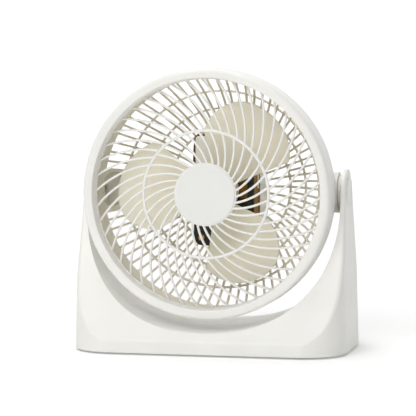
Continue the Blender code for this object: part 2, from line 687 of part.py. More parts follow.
def blade(name, turn):
    """A pitched, cambered blade with its leading edge at the back."""
    across, along = 7, 4
    bm = bmesh.new()
    sides = []
    for face in (1, -1):
        rows = []
        for i in range(across + 1):
            share = i / across
            degrees = BLADE_START + (BLADE_END - BLADE_START) * share
            row = []
            for j in range(along + 1):
                radius = BLADE_ROOT + (blade_tip(degrees) - BLADE_ROOT) * j / along
                ahead = BLADE_MIDDLE_AHEAD + BLADE_RISE * (share - 0.5)
                ahead += 3 * MM * math.sin(math.pi * share) * j / along
                x, y = polar(radius, math.radians(degrees + turn))
                row.append(bm.verts.new((x, y, ahead + face * BLADE_THICKNESS / 2)))
            rows.append(row)
        sides.append(rows)
    front, back = sides
    for i in range(across):
        for j in range(along):
            bm.faces.new((front[i][j], front[i][j + 1], front[i + 1][j + 1], front[i + 1][j]))
            bm.faces.new((back[i][j], back[i + 1][j], back[i + 1][j + 1], back[i][j + 1]))
    rim = [(i, 0) for i in range(across)] + [(across, j) for j in range(along)]
    rim += [(i, along) for i in range(across, 0, -1)] + [(0, j) for j in range(along, 0, -1)]
    for (i, j), (k, m) in zip(rim, rim[1:] + rim[:1]):
        bm.faces.new((front[i][j], front[k][m], back[k][m], back[i][j]))
    bmesh.ops.recalc_face_normals(bm, faces=bm.faces)
    mesh = bpy.data.meshes.new(name)
    bm.to_mesh(mesh)
    bm.free()
    return bpy.data.objects.new(name, mesh)


def build_impeller():
    hub = [(22.0, 33.5), (22.0, 3.0), (19.6, 3.0), (19.6, 32.0), (8.0, 32.0), (8.0, 5.0)]
    hub += [(BORE_RADIUS / MM, 5.0), (BORE_RADIUS / MM, 35.0), (20.0, 35.0)]
    scaled = [(radius * MM, ahead * MM) for radius, ahead in hub]
    fan = place(turned("fan_blade", scaled, 30, closed=True), IVORY, ROTOR, rotation=ALONG_FRONT)
    for i in range(BLADES):
        piece = blade("blade_%d" % i, 360.0 / BLADES * i)
        combine(fan, as_cutter(piece, ROTOR, rotation=ALONG_FRONT), "UNION")
    hex_bore = BORE_RADIUS / math.cos(math.pi / 6)
    nut = tube("blade_nut", hex_bore, 8 * MM, 35.3 * MM, 40.5 * MM, 6)
    place(nut, BLACK, ROTOR, rotation=ALONG_FRONT)
    shaft = [(0, 42.0), (3.4, 42.0), (3.95, 41.4), (3.95, -33.6), (3.4, -34.2), (0, -34.2)]
    shaft = [(radius * MM, ahead * MM) for radius, ahead in shaft]
    place(turned("motor_shaft", shaft, 16), STEEL, ROTOR, rotation=ALONG_FRONT)
    rotor = tube("motor_rotor", BORE_RADIUS, 16.6 * MM, CORE_BACK + MM, CORE_FRONT - MM, 20)
    place(rotor, CORE, ROTOR, rotation=ALONG_FRONT)


# ---------------------------------------------------------------- motor


def bracket(name, middle):
    """A motor bracket: an upright plate with a bearing hole, screw holes and a window to its right."""
    high = BRACKET_HALF_HEIGHT
    outlines = [rounded_rectangle(MOTOR_LEFT, MOTOR_RIGHT, -high, high, 9 * MM)]
    outlines.append(circle(8.3 * MM, 14))
    outlines.append(rounded_rectangle(14.5 * MM, 29 * MM, -9 * MM, 11 * MM, 5 * MM, 3))
    outlines += [circle(1.9 * MM, 8, spot) for spot in MOTOR_SCREWS]
    made = plate(name, outlines, 2.4 * MM, lambda radius: middle)
    return place(made, BLACK, HEAD, rotation=ALONG_FRONT)


def build_lead_cover():
    """A white cap over the motor's leads, on the upper left of the front bracket."""
    depth = LEAD_COVER_FRONT - LEAD_COVER_BACK
    middle = (LEAD_COVER_FRONT + LEAD_COVER_BACK) / 2
    sides = (LEAD_COVER_LEFT, LEAD_COVER_RIGHT, LEAD_COVER_BOTTOM, LEAD_COVER_TOP)
    outline = rounded_rectangle(*sides, 4 * MM)
    cap = plate("lead_cover", [outline], depth, lambda radius: middle)
    place(cap, WHITE, HEAD, rotation=ALONG_FRONT)
    wall = LEAD_COVER_WALL
    left, right = LEAD_COVER_LEFT + wall, LEAD_COVER_RIGHT - wall
    low, high = LEAD_COVER_BOTTOM + wall, LEAD_COVER_TOP - wall
    outline = rounded_rectangle(left, right, low, high, 2.8 * MM)
    hollow = plate("lead_cover_hollow", [outline], depth, lambda radius: middle - wall)
    combine(cap, as_cutter(hollow, HEAD, rotation=ALONG_FRONT), "DIFFERENCE")
    hole = rod("lead_cover_hole", 0.9 * MM, 0.0, 3 * MM, 10)
    combine(cap, as_cutter(hole, HEAD, (-18.2 * MM, 0, 44.5 * MM), ALONG_FRONT), "DIFFERENCE")


def build_motor():
    bracket("motor_bracket_front", -4.2 * MM)
    bracket("motor_bracket_rear", -32.4 * MM)
    build_lead_cover()
    high = CORE_HALF_HEIGHT
    outlines = [rounded_rectangle(MOTOR_LEFT + MM, 30.0 * MM, -high, high, 5 * MM, 3)]
    outlines.append(circle(17.2 * MM, 20))
    outlines.append(rectangle(18.4 * MM, 23.4 * MM, -24 * MM, 24 * MM))
    middle = (CORE_FRONT + CORE_BACK) / 2
    core = plate("stator_core", outlines, CORE_FRONT - CORE_BACK, lambda radius: middle)
    place(core, CORE, HEAD, rotation=ALONG_FRONT)
    coil = plate(
        "stator_coil",
        [
            rounded_rectangle(18.8 * MM, 35.2 * MM, -31.2 * MM, -5.8 * MM, 3 * MM, 3),
            rounded_rectangle(23.1 * MM, 30.3 * MM, -29.3 * MM, -8.7 * MM, 0.3 * MM, 1),
        ],
        47 * MM,
    )
    # The coil wraps the core's right limb, so its outline lies level, in X and along the shaft.
    for vert in coil.data.vertices:
        x, ahead, up = vert.co
        vert.co = (x, up, ahead)
    coil.data.flip_normals()
    place(coil, COPPER, HEAD, rotation=ALONG_FRONT)
    for label, front in (("front", 0.6 * MM), ("rear", -29.6 * MM)):
        seat = front - 5.0 * MM
        profile = [(8.0 * MM, front - 0.4 * MM), (8.0 * MM, seat)]
        profile += [(BORE_RADIUS, seat), (BORE_RADIUS, front)]
        profile += [(7.2 * MM, front)]
        place(turned("bearing_" + label, profile, 14, closed=True), BRASS, HEAD, rotation=ALONG_FRONT)
    for i, (x, z) in enumerate(MOTOR_SCREWS):
        screw = [(0, -0.6), (2.4, -0.8), (3.2, -1.4), (3.2, -2.7), (1.6, -2.7), (1.6, -43.0), (0, -43.0)]
        screw = [(radius * MM, ahead * MM) for radius, ahead in screw]
        place(turned("motor_screw_%d" % (i + 1), screw, 8), BRASS, HEAD, (x, 0, z), ALONG_FRONT)


# ---------------------------------------------------------------- rear cover and knob


def cover_ring(ahead, inset, steps=40):
    points = []
    for i in range(steps):
        angle = math.tau * i / steps
        radius = plate_edge(angle, COVER_HALF_WIDTH - inset, COVER_HALF_HEIGHT - inset)
        points.append((radius * math.cos(angle), radius * math.sin(angle), ahead))
    return points


def build_rear_cover():
    wall = COVER_WALL
    back = COVER_BACK_AHEAD
    rings = [cover_ring(back, 6 * MM), cover_ring(back + 0.5 * MM, 3.4 * MM)]
    rings += [cover_ring(back + 1.8 * MM, 1.2 * MM), cover_ring(back + 3.4 * MM, 0.2 * MM)]
    rings.append(cover_ring(COVER_RIM_AHEAD, 0.0))
    rings += [cover_ring(COVER_RIM_AHEAD, wall), cover_ring(back + 3.6 * MM, 0.2 * MM + wall)]
    rings += [cover_ring(back + 2.5 * MM, 2.0 * MM + wall), cover_ring(back + wall, 4.2 * MM + wall)]
    cover = place(loft("rear_motor_cover", rings), WHITE, HEAD, rotation=ALONG_FRONT)
    vents = as_cutter(vent_slots("cover_vents"), HEAD, rotation=ALONG_FRONT)
    combine(cover, vents, "DIFFERENCE")
    low, high = back - 4 * MM, back + 6 * MM
    hole = as_cutter(rod("knob_hole", 4.6 * MM, low, high, 16), HEAD, rotation=ALONG_FRONT)
    combine(cover, hole, "DIFFERENCE")
    gland = as_cutter(rod("gland_hole", 5.2 * MM, low, high, 16), HEAD, (0, 0, GLAND_HEIGHT), ALONG_FRONT)
    combine(cover, gland, "DIFFERENCE")
    for i, (x, z) in enumerate(MOTOR_SCREWS):
        hole = rod("cover_screw_hole_%d" % i, 1.7 * MM, low, high, 10)
        combine(cover, as_cutter(hole, HEAD, (x, 0, z), ALONG_FRONT), "DIFFERENCE")
        under = back - GAP
        screw = [(0, back + 14 * MM), (1.4 * MM, back + 14 * MM), (1.4 * MM, under), (2.8 * MM, under)]
        screw += [(2.8 * MM, under - MM), (1.8 * MM, under - 1.6 * MM), (0, under - 1.6 * MM)]
        place(turned("cover_screw_%d" % (i + 1), screw, 10), STEEL, HEAD, (x, 0, z), ALONG_FRONT)


def vent_slots(name):
    """Upright slots over the top of the rear cover, joined in one cutter."""
    bm = bmesh.new()
    for i in range(VENTS):
        made = bmesh.ops.create_cube(bm, size=1.0)["verts"]
        for vert in made:
            vert.co.x = vert.co.x * VENT_WIDTH + (i - (VENTS - 1) / 2) * VENT_PITCH
            vert.co.y = vert.co.y * VENT_LENGTH + VENT_HEIGHT
            vert.co.z = vert.co.z * 4 * COVER_WALL + COVER_BACK_AHEAD
    mesh = bpy.data.meshes.new(name)
    bm.to_mesh(mesh)
    bm.free()
    return bpy.data.objects.new(name, mesh)


def build_switch():
    back = COVER_BACK_AHEAD + COVER_WALL + GAP
    front = back + 12.4 * MM
    body = box_mesh("speed_switch_body", (-11 * MM, -11 * MM, back), (11 * MM, 11 * MM, front))
    place(body, BLACK, HEAD, rotation=ALONG_FRONT)
    stem_front = back + 7 * MM
    bore = rod("switch_bore", 3.6 * MM, back - 3 * MM, stem_front + 0.4 * MM, 14)
    combine(body, as_cutter(bore, HEAD, rotation=ALONG_FRONT), "DIFFERENCE")
    stem_back = KNOB_FRONT_AHEAD - 4 * MM
    stem = rod("switch_shaft", 3.2 * MM, stem_back, stem_front, 14)
    place(stem, STEEL, KNOB, rotation=ALONG_FRONT)
    front, back = KNOB_FRONT_AHEAD, KNOB_BACK_AHEAD
    profile = [(0, stem_back - 0.4 * MM), (3.5 * MM, stem_back - 0.4 * MM), (3.5 * MM, front)]
    profile += [(15.6 * MM, front), (KNOB_RADIUS, front - MM), (15.8 * MM, back + 1.1 * MM)]
    profile += [(14.6 * MM, back), (0, back)]
    knob = place(turned("speed_knob", profile, 24), WHITE, KNOB, rotation=ALONG_FRONT)
    low, high = back - 2 * MM, back + 1.1 * MM
    groove = box_mesh("knob_groove", (-0.9 * MM, 3 * MM, low), (0.9 * MM, 20 * MM, high))
    combine(knob, as_cutter(groove, KNOB, rotation=ALONG_FRONT), "DIFFERENCE")
    seat = COVER_BACK_AHEAD - GAP
    inner, outer = COVER_BACK_AHEAD + 1.9 * MM, seat - 2.3 * MM
    gland = [(4.9 * MM, inner), (4.9 * MM, seat), (7.0 * MM, seat), (6.4 * MM, outer)]
    gland += [(3.2 * MM, outer), (3.2 * MM, inner)]
    place(turned("cord_gland", gland, 14, closed=True), RUBBER, HEAD, (0, 0, GLAND_HEIGHT), ALONG_FRONT)


def axis_empty(name, parent, location):
    made = bpy.data.objects.new(name, None)
    PARTS.objects.link(made)
    made.parent = parent
    made.location = location
    return made


clear_scene()
PARTS = collection("air_circulator_fan")
CUTTERS = collection("cutters")
HEAD = axis_empty("head_pivot", None, (0, 0, PIVOT_HEIGHT))
ROTOR = axis_empty("fan_axis", HEAD, (0, 0, 0))
KNOB = axis_empty("knob_axis", HEAD, (0, 0, 0))
build_base()
build_pivots()
build_front_guard()
build_rear_housing()
build_impeller()
build_motor()
build_rear_cover()
build_switch()
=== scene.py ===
"""Looks for a table air-circulator fan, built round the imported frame: satin white mouldings, a
swept front guard, wide warm-white blades, and a small motor seen between them."""

import json
import math

import bmesh
import bpy
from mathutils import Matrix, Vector


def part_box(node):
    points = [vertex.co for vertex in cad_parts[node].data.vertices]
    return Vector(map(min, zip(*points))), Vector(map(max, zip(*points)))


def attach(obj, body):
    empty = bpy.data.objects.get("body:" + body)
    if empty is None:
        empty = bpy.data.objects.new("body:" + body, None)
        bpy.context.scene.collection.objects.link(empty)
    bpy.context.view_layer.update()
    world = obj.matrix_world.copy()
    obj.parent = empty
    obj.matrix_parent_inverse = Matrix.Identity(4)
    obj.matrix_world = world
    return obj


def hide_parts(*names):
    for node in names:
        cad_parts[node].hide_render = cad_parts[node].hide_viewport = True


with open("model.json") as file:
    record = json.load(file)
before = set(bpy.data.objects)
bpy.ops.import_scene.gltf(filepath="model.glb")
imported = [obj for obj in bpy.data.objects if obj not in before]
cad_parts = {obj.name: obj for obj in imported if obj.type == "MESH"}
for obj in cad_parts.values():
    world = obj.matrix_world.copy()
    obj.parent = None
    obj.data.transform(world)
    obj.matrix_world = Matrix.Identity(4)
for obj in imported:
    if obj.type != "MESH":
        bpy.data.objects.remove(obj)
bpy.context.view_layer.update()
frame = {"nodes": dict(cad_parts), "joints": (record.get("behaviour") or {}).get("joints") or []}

MM = 0.001
JOINTS = {joint["name"]: joint for joint in frame["joints"]}
PIVOT = Vector(JOINTS["head_tilt"]["pos_m"])

# Base
BASE_LOW, BASE_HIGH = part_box("base_shell")
BASE_HALF_WIDTH = BASE_HIGH.x
BASE_HALF_DEPTH = BASE_HIGH.y
BASE_FLOOR = BASE_LOW.z
ARM_LEAN = 0.029  # how far the sides lean in for each unit of height
PLAN_CORNER = 45.0 * MM
BAND_TOP = 14.0 * MM
BAND_TAPER = 1.0 * MM
SIDE_BEND = Vector((36.5 * MM, 75.5 * MM))  # control point of the side's hollow sweep
ARM_TOP_RADIUS = 23.0 * MM
TROUGH_HALF_WIDTH = 126.0 * MM
TROUGH_TOP = 147.0 * MM
TROUGH_DEPTH = 125.0 * MM
TROUGH_POWER = 2.3
CAP_RADIUS = 15.3 * MM
CAP_SEAT = 128.3 * MM

# Front guard, with "ahead" measured forward from the tilt axis
GUARD_RADIUS = 111.2 * MM
DISC_RADIUS = 30.6 * MM
BAR_START = 28.0 * MM
GUARD_EDGE_AHEAD = 46.5 * MM
GUARD_CENTRE_AHEAD = 58.0 * MM
BAR_WIDTH = 2.25 * MM
BAR_DEPTH = 3.0 * MM
MID_RING_RADIUS = 61.5 * MM
INNER_BARS = 32
OUTER_BARS = 46
INNER_PHASE = math.radians(-48.65)
OUTER_PHASE = math.radians(-70.2)
SWEEP_RATE = 6.96  # a bar has curled SWEEP_RATE * radius ** SWEEP_POWER degrees
SWEEP_POWER = 0.55

# Rear guard: a deep dome of radial bars round a cup that holds the motor
REAR_BARS = 72
REAR_INNER_BARS = 36
REAR_PHASE = 0.5  # degrees from the right-hand side to the first bar
REAR_BAR_WIDTH = 2.3 * MM
REAR_DEPTH = 4.5 * MM
REAR_RINGS = (97.8 * MM, 80.2 * MM, 61.5 * MM)
REAR_RIM = 113.4 * MM
REAR_INNER_RING_AHEAD = -62.0 * MM
REAR_DOME_SLOPE = 0.711
REAR_DOME_CURVE = 0.0131 / MM
REAR_FLAT_STEP = 6.0 * MM
PIVOT_SECTOR = 10.2  # degrees without bars each side of a pivot
PIVOT_PANEL_LAP = 1.2  # degrees by which the solid panel runs past them
BOSS_RADIUS = 20.0  # these four are in millimetres
BOSS_FACE = 121.4
BOSS_MOUTH = 16.5
WASHER_SEAT = 115.6
PLATE_HALF_WIDTH = 36.2 * MM
PLATE_HALF_HEIGHT = 59.4 * MM
PLATE_POWER = 8.0
CUP_LEFT = 26.0 * MM
CUP_RIGHT = 35.9 * MM
CUP_HALF_HEIGHT = 55.5 * MM
CUP_POWER = 9.0
CUP_WALL = 2.4  # these five are in millimetres
CUP_FRONT = -33.9
COLLAR_FRONT = -65.0
COLLAR_BACK = -68.6
COVER_BACK = -74.5
COVER_HALF_WIDTH = 35.6 * MM
COVER_HALF_HEIGHT = 58.0 * MM
VENTS = 7
VENT_WIDTH = 2.4 * MM
VENT_LENGTH = 14 * MM
VENT_PITCH = 5.5 * MM
VENT_HEIGHT = 32 * MM
VENT_DEPTH = 8 * MM
MOTOR_SCREWS = tuple((x * MM, z * MM) for x in (-17.0, 25.0) for z in (-47.0, 47.0))

# Impeller
BLADES = 3
BLADE_TIP = 95.5 * MM
BLADE_ROOT = 20.8 * MM
BLADE_START = 22.0  # these three are in degrees
BLADE_CREST = 62.0
BLADE_END = 96.0
BLADE_MIDDLE_AHEAD = 18.5 * MM
BLADE_RISE = 29.0 * MM
BLADE_HALF_THICKNESS = 1.0 * MM
BLADE_EDGE = 0.02  # share of the blade over which its edges round off
START_DROP = 18 * MM  # how much shorter the blade is START_SPAN degrees before its crest
START_SPAN = 40
END_DROP = 20 * MM  # and END_SPAN degrees past it
END_SPAN = 27
DROP_POWER = 2.2

# Knob, in millimetres
KNOB_FLUTES = 30
FLUTE_DEPTH = 0.35
POINTER_FOOT = 82.0
POINTER_HEIGHT = 0.35

# Points round a turned piece, a pivot piece and an oval
TURN_STEPS = 180
PIVOT_STEPS = 96
OVAL_STEPS = 160

# Stage, lights and camera, in metres, watts and degrees; the lens is in millimetres
STAGE_REACH = 4.0
STAGE_HALF_WIDTH = 3.6
STAGE_HEIGHT = 3.0
STAGE_BEND = 1.2
LIGHT_SIZE = 1.6
LIGHT_TARGET = (0.0, 0.0, 0.14)
KEY_PLACE = (-0.4, -2.15, 1.6)
KEY_POWER = 31.0
TOP_PLACE = (-0.2, 0.1, 2.2)
TOP_POWER = 28.0
SKY_STRENGTH = 0.23
CAMERA_AZIMUTH = 12.35
CAMERA_ELEVATION = 4.32
CAMERA_DISTANCE = 2.41775
CAMERA_TARGET = (-0.01008, 0.0, 0.13752)
CAMERA_LENS = 212.19


# ---------------------------------------------------------------- mesh helpers


class Skin:
    """Collects points and faces for one mesh."""

    def __init__(self):
        self.points = []
        self.faces = []

    def grid(self, rows, wrap_rows=False, wrap_columns=False, caps=False):
        """Quads between neighbouring rows of equal length; caps close the first and last rows."""
        base = len(self.points)
        height, width = len(rows), len(rows[0])
        for row in rows:
            self.points.extend(tuple(point) for point in row)
        last_row = height if wrap_rows else height - 1
        last_column = width if wrap_columns else width - 1
        for i in range(last_row):
            here = base + i * width
            there = base + (i + 1) % height * width
            for j in range(last_column):
                m = (j + 1) % width
                self.faces.append((here + j, there + j, there + m, here + m))
        if caps:
            self.faces.append(tuple(base + j for j in range(width)))
            self.faces.append(tuple(base + (height - 1) * width + j for j in reversed(range(width))))

    def build(self, name, weld=0.0, sharp=40.0):
        """Make the mesh and its object, with points closer than weld joined."""
        bm = bmesh.new()
        verts = [bm.verts.new(point) for point in self.points]
        for face in self.faces:
            bm.faces.new([verts[i] for i in face])
        if weld:
            bmesh.ops.remove_doubles(bm, verts=bm.verts, dist=weld)
        bmesh.ops.recalc_face_normals(bm, faces=bm.faces)
        mesh = bpy.data.meshes.new(name)
        bm.to_mesh(mesh)
        bm.free()
        obj = bpy.data.objects.new(name, mesh)
        bpy.context.scene.collection.objects.link(obj)
        smooth(obj, sharp)
        return obj


def smooth(obj, sharp):
    """Smooth shading, with edges sharper than an angle in degrees kept crisp."""
    obj.data.shade_smooth()
    obj.data.set_sharp_from_angle(angle=math.radians(sharp))


def at_head(radius, angle, ahead):
    """A point from its distance and angle round the fan's axis, and how far ahead it is."""
    return Vector((radius * math.cos(angle), PIVOT.y - ahead, PIVOT.z + radius * math.sin(angle)))


def fillet(corners, steps=5, closed=True):
    """Round each (x, y, radius) corner of an outline with a parabolic arc."""
    points = []
    count = len(corners)
    for i, (x, y, radius) in enumerate(corners):
        here = Vector((x, y))
        if radius <= 0 or (not closed and i in (0, count - 1)):
            points.append((x, y))
            continue
        before = Vector(corners[i - 1][:2]) - here
        after = Vector(corners[(i + 1) % count][:2]) - here
        half = before.angle(after) / 2
        reach = min(radius / math.tan(half), before.length * 0.49, after.length * 0.49)
        start = here + before.normalized() * reach
        end = here + after.normalized() * reach
        for k in range(steps + 1):
            t = k / steps
            bow = start * (1 - t) ** 2 + here * 2 * t * (1 - t) + end * t**2
            points.append((bow.x, bow.y))
    return points


def turned(name, profile, steps=TURN_STEPS, closed=True, centre=(0.0, 0.0)):
    """A profile of (radius, ahead) in millimetres, swept round the fan's axis."""
    skin = Skin()
    rows = []
    for i in range(steps):
        angle = math.tau * i / steps
        row = []
        for radius, ahead in profile:
            point = at_head(radius * MM, angle, ahead * MM)
            row.append(point + Vector((centre[0], 0, centre[1])))
        rows.append(row)
    skin.grid(rows, wrap_rows=True, wrap_columns=closed)
    return skin.build(name, weld=0.000001)


def turned_aside(name, profile, side, closed=True):
    """A profile of (radius, out) in millimetres, swept round the tilt axis on one side."""
    skin = Skin()
    rows = []
    for i in range(PIVOT_STEPS):
        angle = math.tau * i / PIVOT_STEPS
        row = []
        for radius, out in profile:
            across = radius * MM * math.cos(angle)
            up = radius * MM * math.sin(angle)
            row.append(Vector((side * out * MM, across, PIVOT.z + up)))
        rows.append(row)
    skin.grid(rows, wrap_rows=True, wrap_columns=closed)
    return skin.build(name, weld=0.000001)


def apply_modifiers(obj):
    """Replace the mesh with what its modifiers make of it."""
    bpy.context.view_layer.update()
    evaluated = obj.evaluated_get(bpy.context.evaluated_depsgraph_get())
    mesh = bpy.data.meshes.new_from_object(evaluated)
    mesh.name = obj.data.name
    obj.modifiers.clear()
    obj.data = mesh


def cut(obj, cutters):
    """Take each cutter out of obj, and remove the cutters."""
    for cutter in cutters:
        step = obj.modifiers.new("cut", "BOOLEAN")
        step.operation = "DIFFERENCE"
        step.solver = "EXACT"
        step.object = cutter
    apply_modifiers(obj)
    for cutter in cutters:
        bpy.data.objects.remove(cutter)


def bevel(obj, width, angle=35.0, segments=3):
    """Round the edges sharper than an angle in degrees."""
    step = obj.modifiers.new("edge", "BEVEL")
    step.width = width
    step.segments = segments
    step.limit_method = "ANGLE"
    step.angle_limit = math.radians(angle)
    step.use_clamp_overlap = True
    apply_modifiers(obj)
    smooth(obj, 50.0)


def dress(obj, look, body, slot, *nodes):
    """Finish a piece: its material, the body it rides and the CAD nodes it stands for."""
    obj.data.materials.clear()
    obj.data.materials.append(look)
    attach(obj, body)
    if nodes:
        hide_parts(*nodes)


# ---------------------------------------------------------------- materials


def new_material(name):
    made = bpy.data.materials.new(name)
    made.use_nodes = True
    nodes = made.node_tree.nodes
    return made, nodes, made.node_tree.links, nodes["Principled BSDF"]


def noise(nodes, links, coordinates, scale, detail=4.0):
    texture = nodes.new("ShaderNodeTexNoise")
    texture.inputs["Scale"].default_value = scale
    texture.inputs["Detail"].default_value = detail
    texture.inputs["Roughness"].default_value = 0.55
    links.new(coordinates, texture.inputs["Vector"])
    return texture.outputs["Fac"]


def ramp(nodes, links, source, low, high, start=0.3, end=0.7):
    made = nodes.new("ShaderNodeValToRGB")
    made.color_ramp.elements[0].position = start
    made.color_ramp.elements[1].position = end
    made.color_ramp.elements[0].color = (*low, 1.0)
    made.color_ramp.elements[1].color = (*high, 1.0)
    links.new(source, made.inputs["Fac"])
    return made.outputs["Color"]


def spread(nodes, links, source, low, high):
    """Map a noise, which mostly lies between 0.3 and 0.7, to a range."""
    made = nodes.new("ShaderNodeMapRange")
    made.inputs["From Min"].default_value = 0.3
    made.inputs["From Max"].default_value = 0.7
    made.inputs["To Min"].default_value = low
    made.inputs["To Max"].default_value = high
    links.new(source, made.inputs["Value"])
    return made.outputs["Result"]


def bump(nodes, links, source, shader, strength, distance):
    made = nodes.new("ShaderNodeBump")
    made.inputs["Strength"].default_value = strength
    made.inputs["Distance"].default_value = distance
    links.new(source, made.inputs["Height"])
    links.new(made.outputs["Normal"], shader.inputs["Normal"])


def plastic(name, low, high, roughness, grain=0.12, mottle=22.0, soft=0.0):
    """Moulded plastic: faint cloudy colour, uneven sheen and a fine spark-eroded grain."""
    made, nodes, links, shader = new_material(name)
    place = nodes.new("ShaderNodeTexCoord").outputs["Object"]
    cloud = noise(nodes, links, place, mottle, 3.0)
    links.new(ramp(nodes, links, cloud, low, high), shader.inputs["Base Color"])
    sheen = noise(nodes, links, place, 160.0, 5.0)
    links.new(spread(nodes, links, sheen, roughness - 0.05, roughness + 0.06), shader.inputs["Roughness"])
    fine = noise(nodes, links, place, 2600.0, 2.0)
    bump(nodes, links, fine, shader, grain, 0.00008)
    shader.inputs["IOR"].default_value = 1.46
    if soft:
        shader.inputs["Subsurface Weight"].default_value = soft
        shader.inputs["Subsurface Radius"].default_value = (0.004, 0.003, 0.002)
        shader.inputs["Subsurface Scale"].default_value = 1.0
    return made


def metal(name, low, high, roughness, stretch=(1.0, 1.0, 1.0)):
    """Metal with drawn or cast streaks."""
    made, nodes, links, shader = new_material(name)
    place = nodes.new("ShaderNodeTexCoord").outputs["Object"]
    mapping = nodes.new("ShaderNodeMapping")
    mapping.inputs["Scale"].default_value = stretch
    links.new(place, mapping.inputs["Vector"])
    streak = noise(nodes, links, mapping.outputs["Vector"], 420.0, 5.0)
    links.new(ramp(nodes, links, streak, low, high), shader.inputs["Base Color"])
    links.new(spread(nodes, links, streak, roughness - 0.08, roughness + 0.1), shader.inputs["Roughness"])
    bump(nodes, links, streak, shader, 0.15, 0.0001)
    shader.inputs["Metallic"].default_value = 1.0
    return made


def layered(name, low, high, roughness, metallic, direction, scale, strength):
    """Fine parallel layers, as in a stack of sheet or a winding of wire."""
    made, nodes, links, shader = new_material(name)
    place = nodes.new("ShaderNodeTexCoord").outputs["Object"]
    wave = nodes.new("ShaderNodeTexWave")
    wave.wave_type = "BANDS"
    wave.bands_direction = direction
    wave.inputs["Scale"].default_value = scale
    wave.inputs["Distortion"].default_value = 0.6
    wave.inputs["Detail"].default_value = 1.0
    links.new(place, wave.inputs["Vector"])
    links.new(ramp(nodes, links, wave.outputs["Fac"], low, high, 0.15, 0.8), shader.inputs["Base Color"])
    grime = noise(nodes, links, place, 300.0)
    links.new(spread(nodes, links, grime, roughness - 0.08, roughness + 0.12), shader.inputs["Roughness"])
    bump(nodes, links, wave.outputs["Fac"], shader, strength, 0.0003)
    shader.inputs["Metallic"].default_value = metallic
    shader.inputs["Specular IOR Level"].default_value = 0.12
    return made


def rubber(name, low, high):
    """Dusty moulded rubber."""
    made, nodes, links, shader = new_material(name)
    place = nodes.new("ShaderNodeTexCoord").outputs["Object"]
    dust = noise(nodes, links, place, 260.0, 6.0)
    links.new(ramp(nodes, links, dust, low, high), shader.inputs["Base Color"])
    links.new(spread(nodes, links, dust, 0.62, 0.85), shader.inputs["Roughness"])
    fine = noise(nodes, links, place, 1800.0, 3.0)
    bump(nodes, links, fine, shader, 0.3, 0.0001)
    return made


WHITE = ((0.85, 0.843, 0.803), (0.88, 0.873, 0.835))
SHELL = plastic("shell_white_plastic", *WHITE, 0.38, soft=0.08)
GRILLE = plastic("grille_white_plastic", *WHITE, 0.34, grain=0.06, soft=0.08)
HOUSING = plastic("housing_white_plastic", (0.87, 0.85, 0.78), (0.90, 0.88, 0.815), 0.4, soft=0.08)
# A warmer copy of the white plastic. Its cream tint is painted warm bounce shade from inside the drum, not
# the plastic's own colour. It goes on the rear guard, its pivot panels, the motor plate and the drum's inner
# wall.
WARM_SHADE_PLASTIC = plastic("inner_white_painted_warm_shade", (0.90, 0.86, 0.745), (0.93, 0.89, 0.78), 0.45, soft=0.1)
BLADE = plastic(
    "blade_warm_plastic", (0.90, 0.85, 0.70), (0.93, 0.88, 0.735), 0.32, grain=0.05, mottle=14.0, soft=0.1
)
BADGE = plastic("badge_plastic", (0.80, 0.80, 0.765), (0.825, 0.825, 0.79), 0.5, grain=0.3)
KNOB = plastic("knob_plastic", (0.83, 0.828, 0.81), (0.86, 0.858, 0.84), 0.46, grain=0.25)
UNDERSIDE = plastic("underside_plastic", (0.80, 0.80, 0.785), (0.84, 0.84, 0.825), 0.55, grain=0.4)
NYLON = plastic("natural_nylon", (0.74, 0.735, 0.70), (0.79, 0.785, 0.75), 0.5, grain=0.2, soft=0.15)
BLACK_PLASTIC = plastic("black_plastic", (0.018, 0.018, 0.019), (0.03, 0.03, 0.031), 0.45, grain=0.3)
BLACK_PAINT = plastic(
    "black_painted_steel", (0.006, 0.006, 0.006), (0.013, 0.012, 0.012), 0.5, grain=0.25, mottle=120.0
)
RUBBER = rubber("foot_rubber", (0.022, 0.022, 0.022), (0.045, 0.044, 0.042))
ZINC = metal("zinc_plated_steel", (0.58, 0.58, 0.57), (0.74, 0.74, 0.73), 0.34, (1.0, 1.0, 4.0))
BRASS = metal("plated_brass", (0.58, 0.40, 0.16), (0.75, 0.56, 0.27), 0.32)
COPPER = layered("copper_winding", (0.20, 0.095, 0.01), (0.46, 0.24, 0.035), 0.65, 0.05, "Z", 190.0, 0.9)
LEAD = plastic("lead_insulation", (0.09, 0.035, 0.008), (0.17, 0.075, 0.015), 0.4, grain=0.2, mottle=160.0)
LAMINATION = layered(
    "steel_laminations", (0.05, 0.04, 0.028), (0.30, 0.235, 0.16), 0.5, 0.5, "Y", 130.0, 0.6
)


# ---------------------------------------------------------------- base


def side_half_depth(height):
    """Half of the base's depth: a band, a hollow sweep up to the arm, then a round top."""
    if height <= BAND_TOP:
        return BASE_HALF_DEPTH - BAND_TAPER * max(height, 0.0) / BAND_TOP
    if height >= PIVOT.z:
        rise = min(height - PIVOT.z, ARM_TOP_RADIUS)
        return math.sqrt(ARM_TOP_RADIUS**2 - rise**2)
    start = Vector((BASE_HALF_DEPTH - BAND_TAPER, BAND_TOP))
    end = Vector((ARM_TOP_RADIUS, PIVOT.z))
    low, high = 0.0, 1.0
    for _ in range(40):
        t = (low + high) / 2
        point = start * (1 - t) ** 2 + SIDE_BEND * 2 * t * (1 - t) + end * t**2
        if point.y < height:
            low = t
        else:
            high = t
    return point.x


def trough_half_width(height):
    """Half of the gap between the arms at a height; nothing below the trough's floor."""
    if height >= TROUGH_TOP:
        return TROUGH_HALF_WIDTH
    drop = (TROUGH_TOP - height) / TROUGH_DEPTH
    return TROUGH_HALF_WIDTH * max(1 - drop**TROUGH_POWER, 0.0) ** (1 / TROUGH_POWER)


def edge_round(height):
    """The outer edge is softest round the foot and crisper up the thin arms."""
    share = min(max((height - 40 * MM) / (110 * MM), 0.0), 1.0)
    return (5.5 - 3.4 * share) * MM


